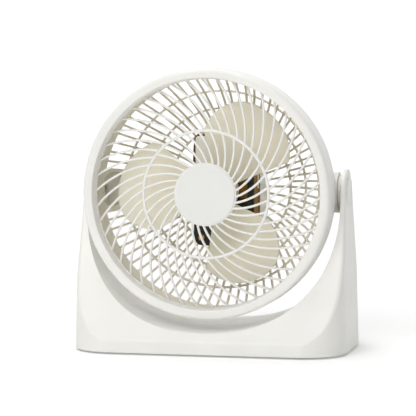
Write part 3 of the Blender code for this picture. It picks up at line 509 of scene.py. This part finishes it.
def base_quarter(height, inner, inset=0.0):
    """Outline of one quarter at a height, from the middle of the side to x = inner."""
    half_width = BASE_HALF_WIDTH - ARM_LEAN * height - inset
    half_depth = max(side_half_depth(height) - inset, 0.8 * MM)
    corner = PLAN_CORNER - inset
    corner_x = half_width - corner
    corner_y = BASE_HALF_DEPTH - inset - corner
    edge = min(edge_round(height), half_depth * 0.8)
    edge_y = half_depth - edge
    if edge_y > corner_y:
        edge_x = corner_x + math.sqrt(max((corner - edge) ** 2 - (edge_y - corner_y) ** 2, 0.0))
        join = math.atan2(edge_y - corner_y, edge_x - corner_x)
    else:
        edge_x = half_width - edge
        join = 0.0
    straight = min(edge_y, corner_y)
    path = straight * 0.75 + corner * join
    points = []
    for i in range(19):
        along = straight * 0.25 + path * i / 18
        if along <= straight:
            points.append((half_width, along))
        else:
            angle = (along - straight) / corner
            points.append((corner_x + corner * math.cos(angle), corner_y + corner * math.sin(angle)))
    for i in range(1, 7):
        angle = join + (math.pi / 2 - join) * i / 6
        points.append((edge_x + edge * math.cos(angle), edge_y + edge * math.sin(angle)))
    for i in range(1, 15):
        points.append((edge_x + (inner - edge_x) * i / 14, half_depth))
    return points


def base_heights():
    """Heights of the sections: the arm's round top, the arm, then down the trough's curve."""
    top = []
    for degrees in (88, 84, 78, 71, 63, 54, 44, 33, 22, 11, 0):
        top.append(PIVOT.z + ARM_TOP_RADIUS * math.sin(math.radians(degrees)))
    trough = []
    for i in range(41):
        angle = math.pi / 2 * i / 40
        trough.append(TROUGH_TOP - TROUGH_DEPTH * math.sin(angle) ** (2 / TROUGH_POWER))
    return top, trough


def foot_levels():
    """Heights and insets of the sections below the trough, round the foot and into the hollow."""
    heights = (TROUGH_TOP - TROUGH_DEPTH, 19.5 * MM, 17.5 * MM, 15.7 * MM, BAND_TOP, 12 * MM, 9 * MM, 6 * MM)
    levels = [(height, 0.0) for height in heights]
    foot = ((1.2, 0.0), (0.5, 0.2), (0.1, 0.6), (0.0, 1.0), (0.0, 2.5), (3.6, 2.6))
    return levels + [(BASE_FLOOR + up * MM, inset * MM) for up, inset in foot]


def add_base_half(skin, side):
    """The arm and the half of the foot on one side, open at the middle."""
    top, trough = base_heights()
    loops = []
    for height in top + trough:
        inner = trough_half_width(height)
        quarter = base_quarter(height, inner)
        half_depth = quarter[-1][1]
        wall = [(inner, half_depth * (1 - 2 * i / 12)) for i in range(1, 12)]
        back = [(x, -y) for x, y in reversed(quarter)]
        loops.append([(side * x, y, height) for x, y in quarter + wall + back])
    # Each loop runs from the side round the front, the trough's wall and the back.
    crown = len(skin.points)
    skin.grid(loops, wrap_columns=True)
    skin.faces.append(tuple(range(crown, crown + len(loops[0]))))
    front = [[(side * x, y, z) for x, y in base_quarter(z, 0.0, inset)] for z, inset in foot_levels()]
    back = [[(x, -y, z) for x, y, z in row] for row in front]
    skin.grid(front)
    skin.grid(back)
    skin.grid([[row[0] for row in front], [row[0] for row in back]])
    rim = front[-1] + list(reversed(back[-1]))
    start = len(skin.points)
    skin.points.extend(rim)
    skin.faces.append(tuple(range(start, start + len(rim))))


def build_base():
    skin = Skin()
    for side in (1, -1):
        add_base_half(skin, side)
    base = skin.build("base_moulding", weld=0.00001)
    radius, seat = CAP_RADIUS / MM, CAP_SEAT / MM
    recess = [(0, 140), (radius, 140), (radius, seat), (0, seat)]
    cut(base, [turned_aside("cap_recess", recess, side, closed=False) for side in (1, -1)])
    bevel(base, 0.9 * MM)
    dress(base, SHELL, "base", "shell_white", "base_shell")


# ---------------------------------------------------------------- pivots


def build_pivots():
    for side, label in ((1, "right"), (-1, "left")):
        profile = fillet(
            [
                (0, 129.0, 0), (15.0, 129.0, 0.2), (15.0, 131.2, 0.9),
                (12.6, 131.5, 0.4), (11.6, 131.0, 0.8), (0, 130.9, 0),
            ],
            closed=False,
        )
        cap = turned_aside("pivot_cap_" + label + "_fine", profile, side, closed=False)
        dress(cap, SHELL, "base", "shell_white", "pivot_cap_" + label)


# ---------------------------------------------------------------- front guard


def guard_dome(radius):
    """How far ahead the front bars are at a radius."""
    share = max(radius - DISC_RADIUS, 0.0) / (GUARD_RADIUS - DISC_RADIUS)
    return GUARD_EDGE_AHEAD + (GUARD_CENTRE_AHEAD - GUARD_EDGE_AHEAD) * (1 - share**2)


def sweep(radius):
    """Angle through which a front bar has curled, anticlockwise, at a radius."""
    return math.radians(SWEEP_RATE * (radius / MM) ** SWEEP_POWER)


def section(width, depth, count=12, power=2.6):
    """A rounded bar section: (across, ahead) pairs."""
    points = []
    for i in range(count):
        angle = math.tau * (i + 0.5) / count
        across = math.copysign(abs(math.cos(angle)) ** (2 / power), math.cos(angle))
        ahead = math.copysign(abs(math.sin(angle)) ** (2 / power), math.sin(angle))
        points.append((across * width / 2, ahead * depth / 2))
    return points


def add_bar(skin, path, shape, square=True):
    """Sweep a section along a path, with its depth square to the path or else straight ahead."""
    rows = []
    front = Vector((0, -1, 0))
    for i, point in enumerate(path):
        before = path[max(i - 1, 0)]
        after = path[min(i + 1, len(path) - 1)]
        along = (after - before).normalized()
        across = along.cross(front).normalized()
        normal = across.cross(along).normalized() if square else front
        rows.append([point + across * a + normal * b for a, b in shape])
    skin.grid(rows, wrap_columns=True, caps=True)


def add_ring(skin, radius, ahead, shape):
    rows = []
    for i in range(TURN_STEPS):
        angle = math.tau * i / TURN_STEPS
        rows.append([at_head(radius + a, angle, ahead + b) for a, b in shape])
    skin.grid(rows, wrap_rows=True, wrap_columns=True)


def build_front_guard():
    skin = Skin()
    shape = section(BAR_WIDTH, BAR_DEPTH)
    for count, phase, inside, outside, steps in (
        (INNER_BARS, INNER_PHASE, BAR_START, MID_RING_RADIUS, 10),
        (OUTER_BARS, OUTER_PHASE, MID_RING_RADIUS, GUARD_RADIUS, 16),
    ):
        for index in range(count):
            path = []
            start = phase + math.tau * index / count
            for i in range(steps + 1):
                radius = inside + (outside - inside) * i / steps
                path.append(at_head(radius, start + sweep(radius), guard_dome(radius)))
            add_bar(skin, path, shape)
    add_ring(skin, MID_RING_RADIUS, guard_dome(MID_RING_RADIUS), section(2.9 * MM, 3.3 * MM, 14))
    add_ring(skin, GUARD_RADIUS + 0.5 * MM, GUARD_EDGE_AHEAD, section(2.4 * MM, 3.2 * MM))
    bars = skin.build("guard_bars", sharp=60.0)
    dress(bars, GRILLE, "head", "grille_white", "front_grille")
    profile = fillet(
        [
            (112.2, 61.3, 1.4), (121.4, 61.2, 7.5), (121.7, 27.3, 0.7), (119.4, 27.3, 0.3),
            (119.3, 55.0, 4.0), (114.4, 57.4, 1.5), (113.2, 45.0, 0.4), (111.2, 45.0, 0.4),
        ],
        8,
    )
    dress(turned("guard_bezel", profile), GRILLE, "head", "grille_white")
    plate = [(0, 56.4, 0), (30.6, 56.4, 0.6), (30.6, 59.4, 1.0), (29.9, 59.7, 0.2), (0, 59.7, 0)]
    plate = fillet(plate, 4, closed=False)
    dress(turned("guard_centre_plate", plate, 96, closed=False), GRILLE, "head", "grille_white")
    disc = [(0, 59.7, 0), (29.5, 59.7, 0.1), (29.4, 60.7, 0.6), (27.5, 60.95, 2.0), (0, 61.0, 0)]
    disc = fillet(disc, 5, closed=False)
    dress(turned("badge_disc", disc, 120, closed=False), BADGE, "head", "badge", "centre_badge")


# ---------------------------------------------------------------- drum and rear guard


def rear_dome(radius):
    """How far ahead the middle of the rear bars is at a radius; flat inside the last ring."""
    out = max(radius - REAR_RINGS[-1], -REAR_FLAT_STEP)
    return REAR_INNER_RING_AHEAD + REAR_DOME_SLOPE * out + REAR_DOME_CURVE * out**2


def oval(angle, half_width, half_height, power=PLATE_POWER):
    """Distance from the middle to the edge of a squarish oval at an angle."""
    across = abs(math.cos(angle) / half_width) ** power
    return (across + abs(math.sin(angle) / half_height) ** power) ** (-1 / power)


def cup_edge(angle, inset):
    """Distance from the fan's axis to the side of the motor cup, which sits to the right of it."""
    width = CUP_RIGHT if math.cos(angle) > 0 else CUP_LEFT
    return oval(angle, width - inset, CUP_HALF_HEIGHT - inset, CUP_POWER)


def ring_loop(edge, ahead):
    """Points round the axis at distance edge(angle), and ahead by so many mm or by ahead(distance)."""
    points = []
    for i in range(OVAL_STEPS):
        angle = math.tau * i / OVAL_STEPS
        radius = edge(angle)
        depth = ahead(radius) if callable(ahead) else ahead * MM
        points.append(at_head(radius, angle, depth))
    return points


def cup_loop(inset, ahead):
    return ring_loop(lambda angle: cup_edge(angle, inset * MM), ahead)


def cover_loop(inset, ahead):
    half_width = COVER_HALF_WIDTH - inset * MM
    half_height = COVER_HALF_HEIGHT - inset * MM
    return ring_loop(lambda angle: oval(angle, half_width, half_height), ahead)


def near_pivot(degrees):
    return abs(math.sin(math.radians(degrees))) < math.sin(math.radians(PIVOT_SECTOR))


def add_rear_bar(skin, degrees, inside, outside, steps):
    """One radial bar that follows the dome."""
    radii = [inside + (outside - inside) * i / steps for i in range(steps + 1)]
    path = [at_head(radius, math.radians(degrees), rear_dome(radius)) for radius in radii]
    add_bar(skin, path, section(REAR_BAR_WIDTH, REAR_DEPTH, 12, 4.0), square=False)


def build_drum():
    profile = fillet(
        [
            (118.9, 44.0, 0.5), (118.9, 26.9, 0.2), (118.5, 16.0, 6.0), (116.6, 8.6, 4.5),
            (112.8, 7.0, 1.2), (112.8, 12.6, 1.2), (116.0, 19.0, 6.0), (116.6, 44.0, 0.5),
        ],
        7,
    )
    drum = turned("drum_moulding", profile)
    dress(drum, HOUSING, "head", "housing_white", "rear_housing")
    # Faces turned in towards the axis take the warmer second material, which is painted warm bounce shade on
    # the drum's inner wall; the outside keeps the plain white.
    drum.data.materials.append(WARM_SHADE_PLASTIC)
    for face in drum.data.polygons:
        outward = Vector((face.center.x, 0, face.center.z - PIVOT.z))
        if face.normal.dot(outward) < 0:
            face.material_index = 1


def build_rear_guard():
    skin = Skin()
    last_ring = REAR_RINGS[-1]
    for index in range(REAR_BARS):
        degrees = REAR_PHASE + 360.0 / REAR_BARS * index
        outside = REAR_RINGS[0] if near_pivot(degrees) else REAR_RIM
        add_rear_bar(skin, degrees, last_ring, outside, 12)
    for index in range(REAR_INNER_BARS):
        degrees = REAR_PHASE + 360.0 / REAR_INNER_BARS * index
        inside = oval(math.radians(degrees), PLATE_HALF_WIDTH, PLATE_HALF_HEIGHT) - MM
        if inside < last_ring - 2 * MM:
            add_rear_bar(skin, degrees, inside, last_ring, 3)
    for radius in REAR_RINGS:
        add_ring(skin, radius, rear_dome(radius), section(REAR_BAR_WIDTH, 4.7 * MM, 12, 4.0))
    # The bars wear the warmer material: painted warm bounce shade.
    dress(skin.build("rear_guard_bars", sharp=60.0), WARM_SHADE_PLASTIC, "head", "housing_white")


def build_pivot_boss(side, label):
    """The hollow boss that stands out of the dome towards the arm."""
    profile = fillet(
        [
            (5.2, BOSS_FACE, 0.3), (BOSS_RADIUS, BOSS_FACE, 0.8), (BOSS_RADIUS, 90.0, 0),
            (BOSS_MOUTH, 90.0, 0), (BOSS_MOUTH, 115.2, 1.5), (8.0, 115.2, 0.3), (8.0, WASHER_SEAT, 0.1),
            (2.4, WASHER_SEAT, 0.1), (2.4, 117.6, 0.1), (5.2, 117.6, 0.1),
        ],
        4,
    )
    boss = turned_aside("pivot_boss_" + label, profile, side)
    inside = [(0, 60.0), (117.8, 60.0), (117.8, 22.0), (116.0, 16.0), (113.6, 11.0), (110.6, 5.0)]
    inside += [(105.0, -5.4), (97.8, -18.7), (90.0, -29.2), (0, -29.2)]
    cut(boss, [turned("dome_inside", inside, 120, closed=False)])
    smooth(boss, 35.0)
    dress(boss, HOUSING, "head", "housing_white")


def build_pivot_panel(side, label):
    """The solid part of the dome round a pivot, with the mouth of the hollow boss in it."""
    skin = Skin()
    rows = []
    half = REAR_DEPTH / 2
    reach = PIVOT_SECTOR + PIVOT_PANEL_LAP
    middle = REAR_PHASE + (0 if side > 0 else 180)
    radii = [REAR_RINGS[0] + (REAR_RIM - REAR_RINGS[0]) * k / 12 for k in range(13)]
    for i in range(25):
        angle = math.radians(middle - reach + 2 * reach * i / 24)
        front = [at_head(radius, angle, rear_dome(radius) + half) for radius in radii]
        back = [at_head(radius, angle, rear_dome(radius) - half) for radius in reversed(radii)]
        rows.append(front + back)
    skin.grid(rows, wrap_columns=True, caps=True)
    panel = skin.build("pivot_panel_" + label)
    mouth = [(0, 80.0), (BOSS_MOUTH, 80.0), (BOSS_MOUTH, 130.0), (0, 130.0)]
    cut(panel, [turned_aside("boss_mouth", mouth, side, closed=False)])
    bevel(panel, 0.4 * MM, 40.0, 2)
    # The panel wears the warmer material: painted warm bounce shade.
    dress(panel, WARM_SHADE_PLASTIC, "head", "housing_white")


def build_motor_plate():
    """The solid oval in the middle of the rear guard, open where the cup joins it."""
    skin = Skin()
    half = REAR_DEPTH / 2
    rim = [(0.0, 1), (0.4, 1), (0.8, 1), (0.96, 1), (1.0, 0.75)]
    rim += [(share, -lift) for share, lift in reversed(rim)]
    rows = []
    for share, lift in rim:

        def edge(angle, share=share):
            mouth = cup_edge(angle, CUP_WALL * MM)
            return mouth + (oval(angle, PLATE_HALF_WIDTH, PLATE_HALF_HEIGHT) - mouth) * share

        rows.append(ring_loop(edge, lambda radius, lift=lift: rear_dome(radius) + half * lift))
    skin.grid(rows, wrap_rows=True, wrap_columns=True)
    # The plate wears the warmer material: painted warm bounce shade.
    dress(skin.build("motor_plate"), WARM_SHADE_PLASTIC, "head", "housing_white")


def build_cover_collar():
    """The low wall behind the plate that the rear cover closes."""
    skin = Skin()
    wall, front, back = CUP_WALL, COLLAR_FRONT, COLLAR_BACK
    outline = [(wall, front), (0.0, front), (0.0, back + 0.3), (0.3, back)]
    outline += [(wall - 0.3, back), (wall, back + 0.3)]
    rows = [cover_loop(inset, ahead) for inset, ahead in outline]
    skin.grid(rows, wrap_rows=True, wrap_columns=True)
    dress(skin.build("cover_collar"), HOUSING, "head", "housing_white")


def build_lead_cover():
    """The white cap over the motor's leads, at the upper left of the front bracket."""
    left, right, low, high = -22.4, -7.0, 22.0, 53.5
    back, front = -2.7, 1.6
    skin = Skin()

    def loop(inset, ahead):
        sides = (left + inset, right - inset)
        ends = (low + inset, high - inset)
        corners = [(sides[1], ends[1]), (sides[0], ends[1]), (sides[0], ends[0]), (sides[1], ends[0])]
        outline = fillet([(x, z, 4.0 - inset * 0.8) for x, z in corners], 8)
        return [Vector((x * MM, -ahead * MM, PIVOT.z + z * MM)) for x, z in outline]

    steps = ((1.2, back), (0.0, back), (0.0, 0.9), (0.2, 1.4), (0.7, front), (4.0, front))
    rows = [loop(inset, ahead) for inset, ahead in steps]
    middle = Vector(((left + right) / 2 * MM, -front * MM, PIVOT.z + (low + high) / 2 * MM))
    rows.append([middle + (point - middle) * 0.02 for point in loop(0.0, front)])
    skin.grid(rows, wrap_columns=True)
    dress(skin.build("lead_cover_cap", sharp=50.0), HOUSING, "head", "housing_white", "lead_cover")


def build_motor_leads():
    """Two insulated wires that run up the bracket's left edge to the lead cover."""
    skin = Skin()
    shape = section(1.2 * MM, 1.2 * MM, 12, 2.0)
    route = [(-24.6, 20.0), (-24.9, 30.0), (-24.6, 40.0), (-24.0, 50.0), (-21.0, 55.0), (-17.0, 51.0)]
    for offset in (0.0, 1.3):
        ahead = 1.3 - offset * 0.5
        path = [Vector(((x + offset) * MM, ahead * MM, PIVOT.z + z * MM)) for x, z in route]
        add_bar(skin, path, shape)
    dress(skin.build("motor_leads"), LEAD, "head", "copper")


def build_coil_tab():
    """The pale insulation tab on the coil's right side."""
    front, back, low, high = -22.0, -27.5, 1.0, 16.5
    outline = fillet([(front, low, 0.6), (front, high, 0.6), (back, high, 0.6), (back, low, 0.6)], 4)
    rows = []
    for x in (35.0, 35.6):
        rows.append([Vector((x * MM, -ahead * MM, PIVOT.z + z * MM)) for ahead, z in outline])
    skin = Skin()
    skin.grid(rows, wrap_columns=True, caps=True)
    dress(skin.build("coil_tab"), NYLON, "head", "nylon")


def build_motor_cup():
    """The cup that reaches forward from the plate, with the motor bolted to its front."""
    skin = Skin()
    wall, front = CUP_WALL, CUP_FRONT
    floor = front - wall
    outside = [(wall, -66.5), (0.0, -66.5), (0.0, -50.0), (0.0, front - 1.2), (0.3, front - 0.4)]
    outside += [(1.1, front), (9.0, front)]
    rows = [cup_loop(inset, ahead) for inset, ahead in outside]
    for radius, ahead in ((9.8, front), (9.5, front - 0.3), (9.5, floor), (12.0, floor)):
        rows.append(ring_loop(lambda angle, radius=radius: radius * MM, ahead))
    for inset, ahead in ((wall + 1.2, floor), (wall, floor - 1.2), (wall, -50.0)):
        rows.append(cup_loop(inset, ahead))
    skin.grid(rows, wrap_rows=True, wrap_columns=True)
    dress(skin.build("motor_cup"), HOUSING, "head", "housing_white")
    low, high = -68.1, front - 1.5
    for index, (x, z) in enumerate(MOTOR_SCREWS):
        profile = [(1.9, high), (4.2, high), (4.2, low), (1.9, low)]
        column = turned("screw_column_%d" % (index + 1), profile, 32, centre=(x, z))
        dress(column, HOUSING, "head", "housing_white")


# ---------------------------------------------------------------- impeller


def blade_tip(degrees):
    """How far out a blade reaches: full at its crest, less towards both edges."""
    if degrees < BLADE_CREST:
        return BLADE_TIP - START_DROP * ((BLADE_CREST - degrees) / START_SPAN) ** DROP_POWER
    return BLADE_TIP - END_DROP * ((degrees - BLADE_CREST) / END_SPAN) ** DROP_POWER


def blade_point(across, along, turn):
    """A point of a blade's middle surface, from shares across its width and along its length."""
    degrees = BLADE_START + (BLADE_END - BLADE_START) * across
    radius = BLADE_ROOT + (blade_tip(degrees) - BLADE_ROOT) * along
    ahead = BLADE_MIDDLE_AHEAD + BLADE_RISE * (across - 0.5)
    ahead += 3 * MM * math.sin(math.pi * across) * along
    return at_head(radius, math.radians(degrees + turn), ahead)


def edge_fade(share):
    """Rounds a blade's thickness off to nothing at its edge."""
    reach = min(max(share / BLADE_EDGE, 0.0), 1.0)
    return math.sqrt(max(1 - (1 - reach) ** 2, 0.0))


def add_blade(skin, turn):
    across_steps, along_steps = 40, 24
    rows = []
    for j in range(along_steps + 1):
        along = 1 - (1 - j / along_steps) ** 1.6
        front, back = [], []
        for i in range(across_steps + 1):
            across = 0.5 - 0.5 * math.cos(math.pi * i / across_steps)
            point = blade_point(across, along, turn)
            left, right = max(across - 0.01, 0), min(across + 0.01, 1)
            inner, outer = max(along - 0.01, 0), min(along + 0.01, 1)
            du = blade_point(right, along, turn) - blade_point(left, along, turn)
            dv = blade_point(across, outer, turn) - blade_point(across, inner, turn)
            normal = du.cross(dv).normalized()
            if normal.y > 0:
                normal.negate()
            sides = min(edge_fade(across), edge_fade(1 - across))
            half = BLADE_HALF_THICKNESS * sides * edge_fade(1.004 - along)
            front.append(point + normal * half)
            back.append(point - normal * half)
        rows.append(front + list(reversed(back[1:-1])))
    skin.grid(rows, wrap_columns=True, caps=True)


def build_impeller():
    skin = Skin()
    for i in range(BLADES):
        add_blade(skin, 360.0 / BLADES * i)
    blades = skin.build("impeller_blades", weld=0.000002, sharp=60.0)
    dress(blades, BLADE, "impeller", "blade_ivory", "fan_blade")
    profile = fillet(
        [
            (22.0, 35.0, 2.2), (21.9, 3.0, 0.4), (19.6, 3.0, 0.4), (19.6, 32.0, 1.0), (8.0, 32.0, 0.6),
            (8.0, 5.0, 0.4), (4.3, 5.0, 0.2), (4.3, 35.0, 0.3), (12.0, 35.2, 0.5),
        ],
        5,
    )
    dress(turned("impeller_hub", profile, 96), BLADE, "impeller", "blade_ivory")


# ---------------------------------------------------------------- rear cover and knob


def vent_cutter(index):
    """A round-cornered block that cuts one upright vent."""
    bm = bmesh.new()
    for vert in bmesh.ops.create_cube(bm, size=1.0)["verts"]:
        vert.co.x = vert.co.x * VENT_WIDTH + (index - (VENTS - 1) / 2) * VENT_PITCH
        vert.co.z = vert.co.z * VENT_LENGTH + PIVOT.z + VENT_HEIGHT
        vert.co.y = vert.co.y * VENT_DEPTH - COVER_BACK * MM
    lengthways = []
    for edge in bm.edges:
        first, second = edge.verts
        if abs(first.co.y - second.co.y) > VENT_DEPTH / 2:
            lengthways.append(edge)
    bmesh.ops.bevel(bm, geom=lengthways, offset=1.1 * MM, segments=4, affect="EDGES")
    mesh = bpy.data.meshes.new("vent_cutter")
    bm.to_mesh(mesh)
    bm.free()
    cutter = bpy.data.objects.new("vent_cutter", mesh)
    bpy.context.scene.collection.objects.link(cutter)
    return cutter


def build_rear_cover():
    skin = Skin()
    back, inner = COVER_BACK, COVER_BACK + 2.0
    outline = [(0.3, -68.9), (0.05, -69.1), (0.0, -70.4), (0.25, -71.4), (0.8, -72.3), (1.7, -73.1)]
    outline += [(2.9, -73.8), (4.3, -74.25), (6.0, -74.45)]
    outline += [(inset, back) for inset in (8.0, 20.0, 34.0, 38.7)]
    outline += [(inset, inner) for inset in (38.7, 20.0, 10.0)]
    outline += [(6.4, -72.2), (3.8, -71.3), (2.4, -70.2), (2.0, -69.1), (1.8, -68.9)]
    rows = [cover_loop(inset, ahead) for inset, ahead in outline]
    skin.grid(rows, wrap_rows=True, wrap_columns=True)
    cover = skin.build("rear_cover_moulding", sharp=50.0)
    cut(cover, [vent_cutter(index) for index in range(VENTS)])
    bevel(cover, 0.3 * MM, 50.0, 2)
    dress(cover, SHELL, "head", "shell_white", "rear_motor_cover")


def build_knob():
    """The speed knob, with fine flutes round its grip and a pointer on its face."""
    skin = Skin()
    profile = fillet(
        [
            (0, -79.4, 0), (3.5, -79.4, 0.1), (3.5, -75.0, 0.2), (15.8, -75.0, 0.5), (17.0, -76.0, 0.6),
            (15.9, -81.2, 0.2), (15.2, -82.5, 0.9), (13.0, -82.45, 0.4), (12.4, -82.1, 0.6), (0, -82.1, 0),
        ],
        5,
        closed=False,
    )
    rows = []
    for i in range(TURN_STEPS):
        angle = math.tau * i / TURN_STEPS
        row = []
        for radius, ahead in profile:
            grip = FLUTE_DEPTH if radius > 13 and -81.1 < ahead < -76.1 else 0.0
            flute = grip * (0.5 + 0.5 * math.cos(KNOB_FLUTES * angle))
            row.append(at_head((radius - flute) * MM, angle, ahead * MM))
        rows.append(row)
    skin.grid(rows, wrap_rows=True)
    knob = skin.build("knob_moulding", weld=0.000001, sharp=50.0)
    outline = fillet([(-0.8, 4.0, 0.7), (0.8, 4.0, 0.7), (0.8, 12.0, 0.7), (-0.8, 12.0, 0.7)], 4)
    rows = []
    for behind in (POINTER_FOOT, POINTER_FOOT + POINTER_HEIGHT):
        rows.append([Vector((x * MM, behind * MM, PIVOT.z + z * MM)) for x, z in outline])
    pointer = Skin()
    pointer.grid(rows, wrap_columns=True, caps=True)
    dress(knob, KNOB, "knob", "knob_white", "speed_knob")
    dress(pointer.build("knob_pointer"), BADGE, "knob", "knob_white")


# ---------------------------------------------------------------- carried-over CAD nodes


def paint(look, *names):
    """Give CAD nodes a detailed material; their meshes stay as they are."""
    for name in names:
        node = frame["nodes"][name]
        node.data.materials.clear()
        node.data.materials.append(look)
        smooth(node, 35.0)


def paint_cad():
    four = (1, 2, 3, 4)
    paint(UNDERSIDE, "base_bottom_cover")
    paint(RUBBER, "cord_gland", *["rubber_foot_%d" % i for i in four])
    paint(NYLON, "friction_bush_left", "friction_bush_right")
    paint(ZINC, "pivot_washer_left", "pivot_washer_right", "pivot_screw_left", "pivot_screw_right")
    paint(ZINC, "grille_lock_screw", "motor_shaft", "switch_shaft")
    paint(ZINC, *["base_cover_screw_%d" % i for i in four], *["cover_screw_%d" % i for i in four])
    paint(BRASS, "bearing_front", "bearing_rear", *["motor_screw_%d" % i for i in four])
    paint(COPPER, "stator_coil")
    paint(LAMINATION, "stator_core", "motor_rotor")
    paint(BLACK_PAINT, "motor_bracket_front", "motor_bracket_rear", "blade_nut")
    paint(BLACK_PLASTIC, "speed_switch_body")


# ---------------------------------------------------------------- stage


def studio_white():
    """Faintly uneven white paper that glows a little more towards the wall."""
    made, nodes, links, shader = new_material("studio_white")
    place = nodes.new("ShaderNodeTexCoord").outputs["Object"]
    cloud = noise(nodes, links, place, 3.0)
    colour = ramp(nodes, links, cloud, (0.915, 0.915, 0.915), (0.925, 0.925, 0.925))
    links.new(colour, shader.inputs["Base Color"])
    shader.inputs["Roughness"].default_value = 0.8
    shader.inputs["Specular IOR Level"].default_value = 0.1
    shader.inputs["Emission Color"].default_value = (1.0, 1.0, 1.0, 1.0)
    parts = nodes.new("ShaderNodeSeparateXYZ")
    links.new(place, parts.inputs["Vector"])
    glow = nodes.new("ShaderNodeMapRange")
    glow.inputs["From Min"].default_value = 0.2
    glow.inputs["From Max"].default_value = 0.75 * STAGE_REACH
    glow.inputs["To Min"].default_value = 0.14
    glow.inputs["To Max"].default_value = 0.66
    links.new(parts.outputs["Y"], glow.inputs["Value"])
    links.new(glow.outputs["Result"], shader.inputs["Emission Strength"])
    return made


def build_stage():
    """A white sweep: the floor runs back and curves up into the wall."""
    bend_start = STAGE_REACH - STAGE_BEND
    path = [(-STAGE_REACH, 0.0), (bend_start, 0.0)]
    for i in range(1, 25):
        angle = math.pi / 2 * i / 24
        path.append((bend_start + STAGE_BEND * math.sin(angle), STAGE_BEND - STAGE_BEND * math.cos(angle)))
    path.append((STAGE_REACH, STAGE_HEIGHT))
    skin = Skin()
    skin.grid([[(x, y, z) for x in (-STAGE_HALF_WIDTH, STAGE_HALF_WIDTH)] for y, z in path])
    sweep_wall = skin.build("studio_sweep", sharp=60.0)
    sweep_wall.data.materials.append(studio_white())


def area_light(name, place, power):
    """A square soft light aimed at the middle of the fan."""
    data = bpy.data.lights.new(name, "AREA")
    data.shape = "RECTANGLE"
    data.size = LIGHT_SIZE
    data.size_y = LIGHT_SIZE
    data.energy = power
    light = bpy.data.objects.new(name, data)
    bpy.context.scene.collection.objects.link(light)
    light.location = place
    aim = Vector(LIGHT_TARGET) - Vector(place)
    light.rotation_euler = aim.to_track_quat("-Z", "Y").to_euler()


def build_light():
    world = bpy.data.worlds.new("studio")
    bpy.context.scene.world = world
    world.use_nodes = True
    background = world.node_tree.nodes["Background"]
    background.inputs["Color"].default_value = (1.0, 1.0, 1.0, 1.0)
    background.inputs["Strength"].default_value = SKY_STRENGTH
    area_light("key", KEY_PLACE, KEY_POWER)
    area_light("top", TOP_PLACE, TOP_POWER)


def build_camera():
    azimuth, elevation = math.radians(CAMERA_AZIMUTH), math.radians(CAMERA_ELEVATION)
    level = math.cos(elevation)
    back = Vector((math.sin(azimuth) * level, -math.cos(azimuth) * level, math.sin(elevation)))
    data = bpy.data.cameras.new("camera")
    data.lens = CAMERA_LENS
    data.sensor_width = 36.0
    data.clip_end = 50.0
    camera = bpy.data.objects.new("camera", data)
    bpy.context.scene.collection.objects.link(camera)
    camera.location = Vector(CAMERA_TARGET) + back * CAMERA_DISTANCE
    camera.rotation_euler = (-back).to_track_quat("-Z", "Y").to_euler()
    bpy.context.scene.camera = camera


build_base()
build_pivots()
build_front_guard()
build_drum()
build_rear_guard()
for pivot_side, pivot_label in ((1, "right"), (-1, "left")):
    build_pivot_boss(pivot_side, pivot_label)
    build_pivot_panel(pivot_side, pivot_label)
build_motor_plate()
build_cover_collar()
build_motor_cup()
build_lead_cover()
build_motor_leads()
build_coil_tab()
build_impeller()
build_rear_cover()
build_knob()
paint_cad()
build_stage()
build_light()
build_camera()
bpy.context.scene.view_settings.view_transform = "Standard"
